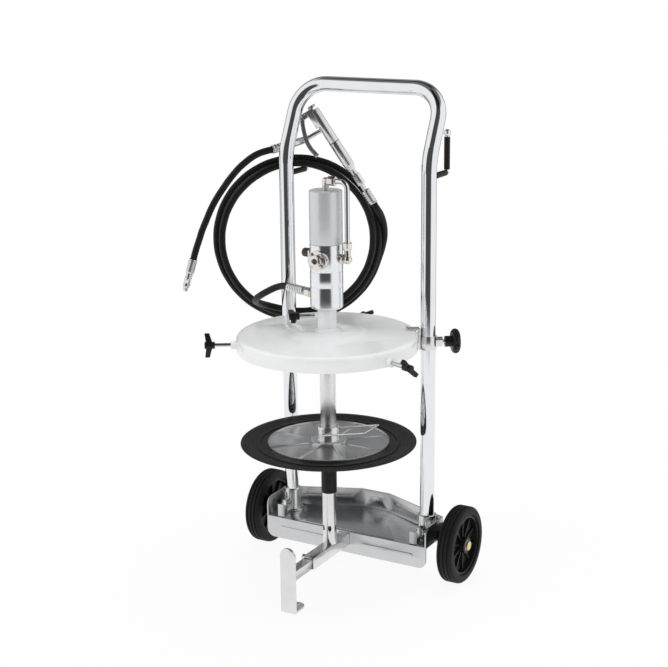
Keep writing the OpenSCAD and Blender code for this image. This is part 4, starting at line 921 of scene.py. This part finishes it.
@dataclass
class HoseSet:
    """Both hoses with their ferrules and the quick coupler on the short one."""

    gun: ControlGun
    hose_d: float = 0.014
    hose_ring_steps: int = 7
    hose_knot_steps: int = 5
    outlet_turn: float = math.radians(160)
    outlet_z: float = 0.6075
    ferrule_start_r: float = 0.0466
    ferrule_end_r: float = 0.121
    ferrule_d: float = 0.018
    ferrule_neck_r: float = 0.0055
    ferrule_nut_gap: float = 0.006
    ferrule_nut_share: float = 0.96
    ferrule_nut_l: float = 0.016
    ferrule_nut_seat: float = 0.0004
    ferrule_shoulder_l: float = 0.001
    ferrule_shoulder_shares: tuple[float, float] = (0.86, 0.96)
    ferrule_tip: float = 0.0016
    ferrule_tip_share: float = 0.93
    crimp_pitch: float = 0.0052
    crimp_margin: float = 0.002
    crimp_shares: tuple[tuple[float, float], ...] = ((1, 0), (1, 0.52), (0.9, 0.66), (0.9, 0.86))
    least_crimps: int = 3
    coil_middle: Vector = field(default_factory=lambda: Vector((-0.143, 0.2763, 0.6765)))
    coil_turn: float = math.radians(30)
    coil_b: float = 0.033
    coil_start: float = math.radians(255)
    coil_r: float = 0.1515
    coil_step_r: float = 0.013
    coil_step_b: float = 0.0145
    coil_spread_turns: float = 1.8
    coil_rise: float = 0.006
    coil_rise_step: float = 0.004
    coil_turns: float = 2.25
    coil_rings: int = 24
    lead_route: tuple[tuple[float, float, float], ...] = (
        (-0.1289, 0.1897, 0.6063), (-0.144, 0.1914, 0.6022), (-0.1585, 0.1911, 0.5956),
        (-0.1723, 0.1912, 0.588), (-0.1858, 0.1937, 0.5801), (-0.1983, 0.1996, 0.5723),
        (-0.2086, 0.2089, 0.565), (-0.2159, 0.2211, 0.558), (-0.2194, 0.2351, 0.5516),
        (-0.2187, 0.2497, 0.5455), (-0.2139, 0.2636, 0.5398),
    )
    tail_route: tuple[tuple[float, float, float], ...] = (
        (-0.020, 0.420, 0.665), (-0.016, 0.417, 0.684), (-0.014, 0.411, 0.702),
        (-0.013, 0.403, 0.717), (-0.014, 0.394, 0.732),
    )
    whip_route: tuple[tuple[float, float, float], ...] = (
        (-0.199, 0.269, 0.870), (-0.210, 0.260, 0.867), (-0.222, 0.251, 0.862),
        (-0.234, 0.243, 0.854), (-0.245, 0.236, 0.844), (-0.256, 0.230, 0.833),
        (-0.265, 0.224, 0.821), (-0.274, 0.218, 0.808), (-0.282, 0.213, 0.795),
        (-0.2915, 0.207, 0.779), (-0.300, 0.2005, 0.762), (-0.3075, 0.195, 0.744),
        (-0.3145, 0.1895, 0.724), (-0.321, 0.185, 0.706), (-0.326, 0.181, 0.688),
        (-0.332, 0.176, 0.666), (-0.337, 0.172, 0.645),
    )
    whip_from: tuple[float, float, float] = (-0.181, 0.291, 0.876)
    whip_end: tuple[float, float, float] = (-0.344, 0.167, 0.616)
    coupler_l: float = 0.032
    coupler_tip_l: float = 0.008
    coupler_bore: tuple[float, float] = (0.0032, 0.014)
    coupler_rim: tuple[float, float] = (0.0068, 0.002)
    coupler_outline: tuple[tuple[float, float], ...] = (
        (0, 0), (0.0062, 0), (0.0074, 0.0008), (0.0074, 0.006), (0.0066, 0.0068), (0.0066, 0.0092),
        (0.0075, 0.010), (0.0075, 0.020), (0.0068, 0.0212), (0.0068, 0.0228), (0.0075, 0.024),
    )
    jaws: int = 4
    jaw_share: float = 0.84
    jaw_radii: tuple[float, float, float] = (0.0034, 0.0046, 0.0055)
    jaw_root: float = 0.001
    jaw_chamfer: float = 0.002
    jaw_steps: int = 8

    def outlet_point(self, reach: float) -> Vector:
        """A point on the outlet's line, at a distance from the pump's axis."""
        turn = self.outlet_turn
        return Vector((reach * math.cos(turn), axis_y() + reach * math.sin(turn), self.outlet_z))

    def coil_point(self, turns: float) -> Vector:
        """A point of the coil, as far along as so many turns.

        Args:
            turns: The turns from its start.

        Returns:
            The point.
        """
        a = self.coil_start + 2 * math.pi * turns
        r = self.coil_r + self.coil_step_r * max(min(turns, self.coil_spread_turns), 0)
        b = self.coil_b + self.coil_step_b * turns
        rise = max(self.coil_rise - self.coil_rise_step * turns, 0) * max(math.sin(a), 0) ** 8
        along, into = math.cos(self.coil_turn), math.sin(self.coil_turn)
        flat = r * math.cos(a)
        return self.coil_middle + Vector((
            flat * along - b * into, flat * into + b * along, r * math.sin(a) + rise,
        ))

    def delivery_path(self) -> list[Vector]:
        """The long hose's whole line, from the pump's outlet through the coil to the gun.

        Returns:
            The points.
        """
        rings = int(self.coil_rings * self.coil_turns)
        loops = [self.coil_point(i / self.coil_rings) for i in range(rings + 1)]
        return [
            self.outlet_point(self.ferrule_end_r),
            *(Vector(p) for p in self.lead_route),
            *loops,
            *(Vector(p) for p in self.tail_route),
            self.gun.point(self.gun.tail_z + self.hose_d),
            self.gun.point(self.gun.tail_z),
        ]

    def hose(self, name: str, path: Sequence[Vector], *replaced: str) -> bpy.types.Object:
        """Makes one hose as a smooth curve through its route.

        Args:
            name: The hose's name.
            path: The points that it goes through.
            replaced: The CAD nodes that it stands for.

        Returns:
            The curve object.
        """
        curve = bpy.data.curves.new(name, "CURVE")
        curve.dimensions = "3D"
        curve.bevel_depth = self.hose_d / 2
        curve.bevel_resolution = self.hose_ring_steps
        curve.resolution_u = self.hose_knot_steps
        curve.use_fill_caps = True
        spline = curve.splines.new("BEZIER")
        spline.bezier_points.add(len(path) - 1)
        for knot, point in zip(spline.bezier_points, path):
            knot.co = point
            knot.handle_left_type = knot.handle_right_type = "AUTO"
        curve.materials.append(FINISHES.get("hose_rubber"))
        piece = bpy.data.objects.new(name, curve)
        bpy.context.scene.collection.objects.link(piece)
        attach(piece, "trolley")
        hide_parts(*replaced)
        return piece

    def ferrule(self, name: str, start: Vector, end: Vector, nut: float) -> bpy.types.Object:
        """Makes one crimped ferrule with its swivel nut.

        Args:
            name: The ferrule's name.
            start: The end that screws on.
            end: The end that the hose goes into.
            nut: The length of its hexagonal nut, or 0 for none.

        Returns:
            The new object.
        """
        length = (Vector(end) - Vector(start)).length
        full, neck = self.ferrule_d / 2, self.ferrule_neck_r
        sleeve = nut + (self.ferrule_nut_gap if nut else 0.0)
        foot, shoulder = self.ferrule_shoulder_shares
        profile = [
            (0, 0.0), (neck, 0.0), (neck, sleeve), (full * foot, sleeve),
            (full * shoulder, sleeve + self.ferrule_shoulder_l),
        ]
        room = length - sleeve - 2 * self.crimp_margin
        crimps = max(self.least_crimps, int(room / self.crimp_pitch))
        step = room / crimps
        for i in range(crimps):
            z = sleeve + self.crimp_margin + room * i / crimps
            profile += [(full * radius, z + step * along) for radius, along in self.crimp_shares]
        tip = full * self.ferrule_tip_share
        profile += [(full, length - self.ferrule_tip), (tip, length), (0, length)]
        shape = Shape().lathe(profile)
        if nut:
            shape.prism(HEXAGON, self.ferrule_d * self.ferrule_nut_share, self.ferrule_nut_seat, nut)
        return shape.put(aim(start, end)).finish(name, "zinc_steel", "trolley")

    def coupler(self) -> bpy.types.Object:
        """Makes the grease coupler: a grooved sleeve with split jaws at its tip.

        Returns:
            The new object.
        """
        start, before = Vector(self.whip_end), Vector(self.whip_route[-1])
        end = start + (start - before).normalized()
        length = self.coupler_l
        bore_r, bore_l = self.coupler_bore
        rim_r, rim_l = self.coupler_rim
        shape = Shape().lathe([
            *self.coupler_outline, (self.coupler_outline[-1][0], length - rim_l), (rim_r, length),
            (bore_r, length), (bore_r, length - bore_l), (0, length - bore_l),
        ])
        inner, tip_r, outer = self.jaw_radii
        root, tip = length - self.jaw_root, length + self.coupler_tip_l
        bevel = tip - self.jaw_chamfer
        jaw = [(inner, root), (outer, root), (outer, bevel), (tip_r, tip), (inner, tip)]
        for i in range(self.jaws):
            turn = 2 * math.pi / self.jaws
            shape.sector(jaw, 2 * math.pi * i / self.jaws, turn * self.jaw_share, self.jaw_steps)
        return shape.put(aim(start, end)).finish(
            "grease_coupler", "zinc_steel", "trolley", "whip_coupler"
        )

    def build(self) -> None:
        """Makes the hoses and what is on them."""
        path = self.delivery_path()
        delivery = self.hose("delivery_hose", path, "hose_runs", "hose_coil")
        whip = self.hose("short_hose", [Vector(p) for p in self.whip_route], "whip_hose")
        outlet = self.ferrule(
            "outlet_ferrule", self.outlet_point(self.ferrule_start_r),
            self.outlet_point(self.ferrule_end_r), self.ferrule_nut_l,
        )
        gun_end = self.ferrule(
            "gun_ferrule", self.gun.point(self.gun.ferrule_z), self.gun.point(self.gun.tail_z), 0.0,
        )
        from_gun, to_coupler = Vector(self.whip_route[0]), Vector(self.whip_route[-1])
        first = self.ferrule("short_hose_ferrule", Vector(self.whip_from), from_gun, 0.0)
        last = self.ferrule("coupler_ferrule", Vector(self.whip_end), to_coupler, 0.0)
        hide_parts("hose_ferrules")
        coupler = self.coupler()
        line_length(path)
        line_length([Vector(p) for p in self.whip_route])
        LOG.info("hoses ready")


def line_length(path: Sequence[Vector]) -> float:
    """The length of a line through points."""
    return sum((b - a).length for a, b in zip(path, path[1:]))


def axis_y() -> float:
    """The distance from the origin to the pump's axis, read from the motor's body."""
    low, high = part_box("motor_body")
    return (low.y + high.y) / 2


@dataclass
class Silencer:
    """The silencer on the motor's left side: a sintered cone on a bright hexagon."""

    hex_flats_share: float = 1.7
    hex_length_share: float = 0.3
    plug_shares: tuple[tuple[float, float], ...] = (
        (0, 0.3), (0.92, 0.3), (0.98, 0.36), (0.98, 0.8), (0.9, 0.92), (0.7, 1), (0, 1),
    )

    def build(self) -> None:
        """Makes the silencer in the room of its plain solid."""
        low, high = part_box("silencer")
        middle = (low + high) / 2
        length = high.x - low.x
        radius = (high.z - low.z) / 2
        place = aim((high.x, middle.y, middle.z), (low.x, middle.y, middle.z))
        nut = Shape().prism(HEXAGON, radius * self.hex_flats_share, 0, length * self.hex_length_share)
        nut.put(place).finish("silencer_hex", "nickel", "trolley", "silencer")
        plug = Shape().lathe([(radius * r, length * z) for r, z in self.plug_shares])
        plug.put(place).finish("silencer_plug", "dark_steel", "trolley")


@dataclass
class FollowerPlate:
    """The rubber plate under the steel dish, with its ridge and the fine rings on its lip."""

    bore_r: float = 0.0163
    thick: float = 0.004
    ridge_r: float = 0.144
    ridge_w: float = 0.006
    ridge_h: float = 0.002
    lip_rise: float = 0.006
    lip_thick: float = 0.0015
    ring_w: float = 0.0016
    ring_h: float = 0.0006
    ring_gap: float = 0.0075
    ring_shares: tuple[tuple[float, int], ...] = ((1, 0), (0.7, 1), (0.3, 1), (0, 0))
    rings: int = 3
    round_w: float = 0.0007
    lip_round: tuple[float, float, float] = (0.0006, 0.0004, 0.0001)
    ridge_foot: float = 0.0002
    sides: int = 160

    def build(self) -> None:
        """Makes the rubber in the room of its plain solid."""
        low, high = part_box("follower_rubber")
        edge = (high.x - low.x) / 2
        inner = self.ridge_r - self.ridge_w
        lip_top = self.lip_rise + self.lip_thick
        slope = (lip_top - self.thick) / (edge - self.ridge_r)
        inset, rise, sink = self.lip_round
        profile = [
            (self.bore_r, 0), (inner, 0), (edge - inset, self.lip_rise - sink),
            (edge, self.lip_rise + rise), (edge, lip_top - rise), (edge - inset, lip_top - sink),
        ]
        for i in reversed(range(self.rings)):
            start = self.ridge_r + self.ring_gap * (i + 1)
            for share, lift in self.ring_shares:
                reach = start + self.ring_w * share
                base = self.thick + slope * (reach - self.ridge_r)
                profile.append((reach, base + lift * self.ring_h))
        top, turn = self.thick + self.ridge_h, self.round_w
        profile += [
            (self.ridge_r, self.thick + self.ridge_foot), (self.ridge_r, top - turn),
            (self.ridge_r - turn, top), (inner + turn, top), (inner, top - turn),
            (inner, self.thick), (self.bore_r, self.thick), (self.bore_r, 0),
        ]
        Shape().lathe(profile, self.sides).put(Matrix.Translation((0, axis_y(), low.z))).finish(
            "follower_plate", "follower_rubber", "follower", "follower_rubber",
        )


@dataclass
class Dressing:
    """Which finish each CAD node takes, and how far its edges are rounded."""

    rounded: dict[str, tuple[str, float]] = field(default_factory=lambda: {
        "base_tray": ("zinc_sheet", 0.0009),
        "toe_plate": ("zinc_steel", 0.0009),
        "arm_tube": ("zinc_steel", 0.0012),
        "tube_sockets": ("zinc_steel", 0.0008),
        "socket_bolts": ("zinc_steel", 0.0006),
        "axle_brackets": ("black_paint", 0.0012),
        "axle_caps": ("yellow_zinc", 0.0012),
        "arm_screw": ("zinc_steel", 0.0006),
        "hanger_sleeves": ("sleeve_rubber", 0.0006),
        "wheel_left": ("wheel_plastic", 0.0008),
        "wheel_right": ("wheel_plastic", 0.0008),
        "tyre_left": ("tyre", 0.0006),
        "tyre_right": ("tyre", 0.0006),
        "clamp_collar": ("zinc_steel", 0.0008),
        "clamp_hook": ("zinc_steel", 0.0007),
        "clamp_knob": ("knob_plastic", 0.0016),
        "rim_knob_left": ("knob_plastic", 0.0016),
        "rim_knob_right": ("knob_plastic", 0.0016),
        "rim_knob_back": ("knob_plastic", 0.0016),
        "neck_knob": ("knob_plastic", 0.0016),
        "drum_cover": ("cover_paint", 0.0006),
        "cover_neck": ("cover_paint", 0.0009),
        "motor_cylinder": ("motor_paint", 0.0016),
        "motor_body": ("machined_aluminium", 0.0004),
        "inlet_flange": ("nickel", 0.0008),
        "flange_screws": ("seal_steel", 0.0006),
        "side_elbow": ("nickel", 0.0007),
        "pipe_nuts": ("nickel", 0.0007),
        "top_elbow": ("nickel", 0.0007),
        "outlet_fitting": ("brass", 0.0007),
        "follower_dish": ("zinc_sheet", 0.0007),
        "follower_hub": ("zinc_steel", 0.0010),
        "gun_body": ("zinc_steel", 0.0009),
        "gun_tube": ("zinc_steel", 0.0007),
        "tube_sleeve": ("sleeve_rubber", 0.0005),
        "lower_tube": ("zinc_steel", 0.0003),
        "suction_tube": ("zinc_steel", 0.0003),
    })
    plain: dict[str, str] = field(default_factory=lambda: {
        "frame_tube": "chrome_tube", "axle": "zinc_steel", "hanger_rods": "chrome_tube",
        "bush_left": "bush_plastic", "bush_right": "bush_plastic", "clamp_screw": "zinc_steel",
        "rim_screw_left": "zinc_steel", "rim_screw_right": "zinc_steel", "rim_screw_back": "zinc_steel",
        "neck_screw": "zinc_steel", "air_pipe": "chrome_tube", "foot_valve": "seal_steel",
        "air_piston": "machined_aluminium", "pump_rod": "seal_steel",
        "bail": "zinc_steel",
    })

    def build(self) -> None:
        """Rounds and dresses every CAD node that stays visible."""
        for node, (finish, width) in self.rounded.items():
            rounded_copy(node, finish, body_of(node), width)
        for node, finish in self.plain.items():
            mesh = frame["nodes"][node].data
            mesh.materials.clear()
            mesh.materials.append(FINISHES.get(finish))
            LOG.info("%s: %s", node, finish)


def main() -> None:
    """Builds the studio and dresses the pump."""
    logging.basicConfig(level=logging.INFO, format="%(message)s")
    gun = ControlGun()
    Studio().build()
    HoseSet(gun).build()
    gun.build()
    Silencer().build()
    FollowerPlate().build()
    Dressing().build()


if __name__ == "__main__":
    main()
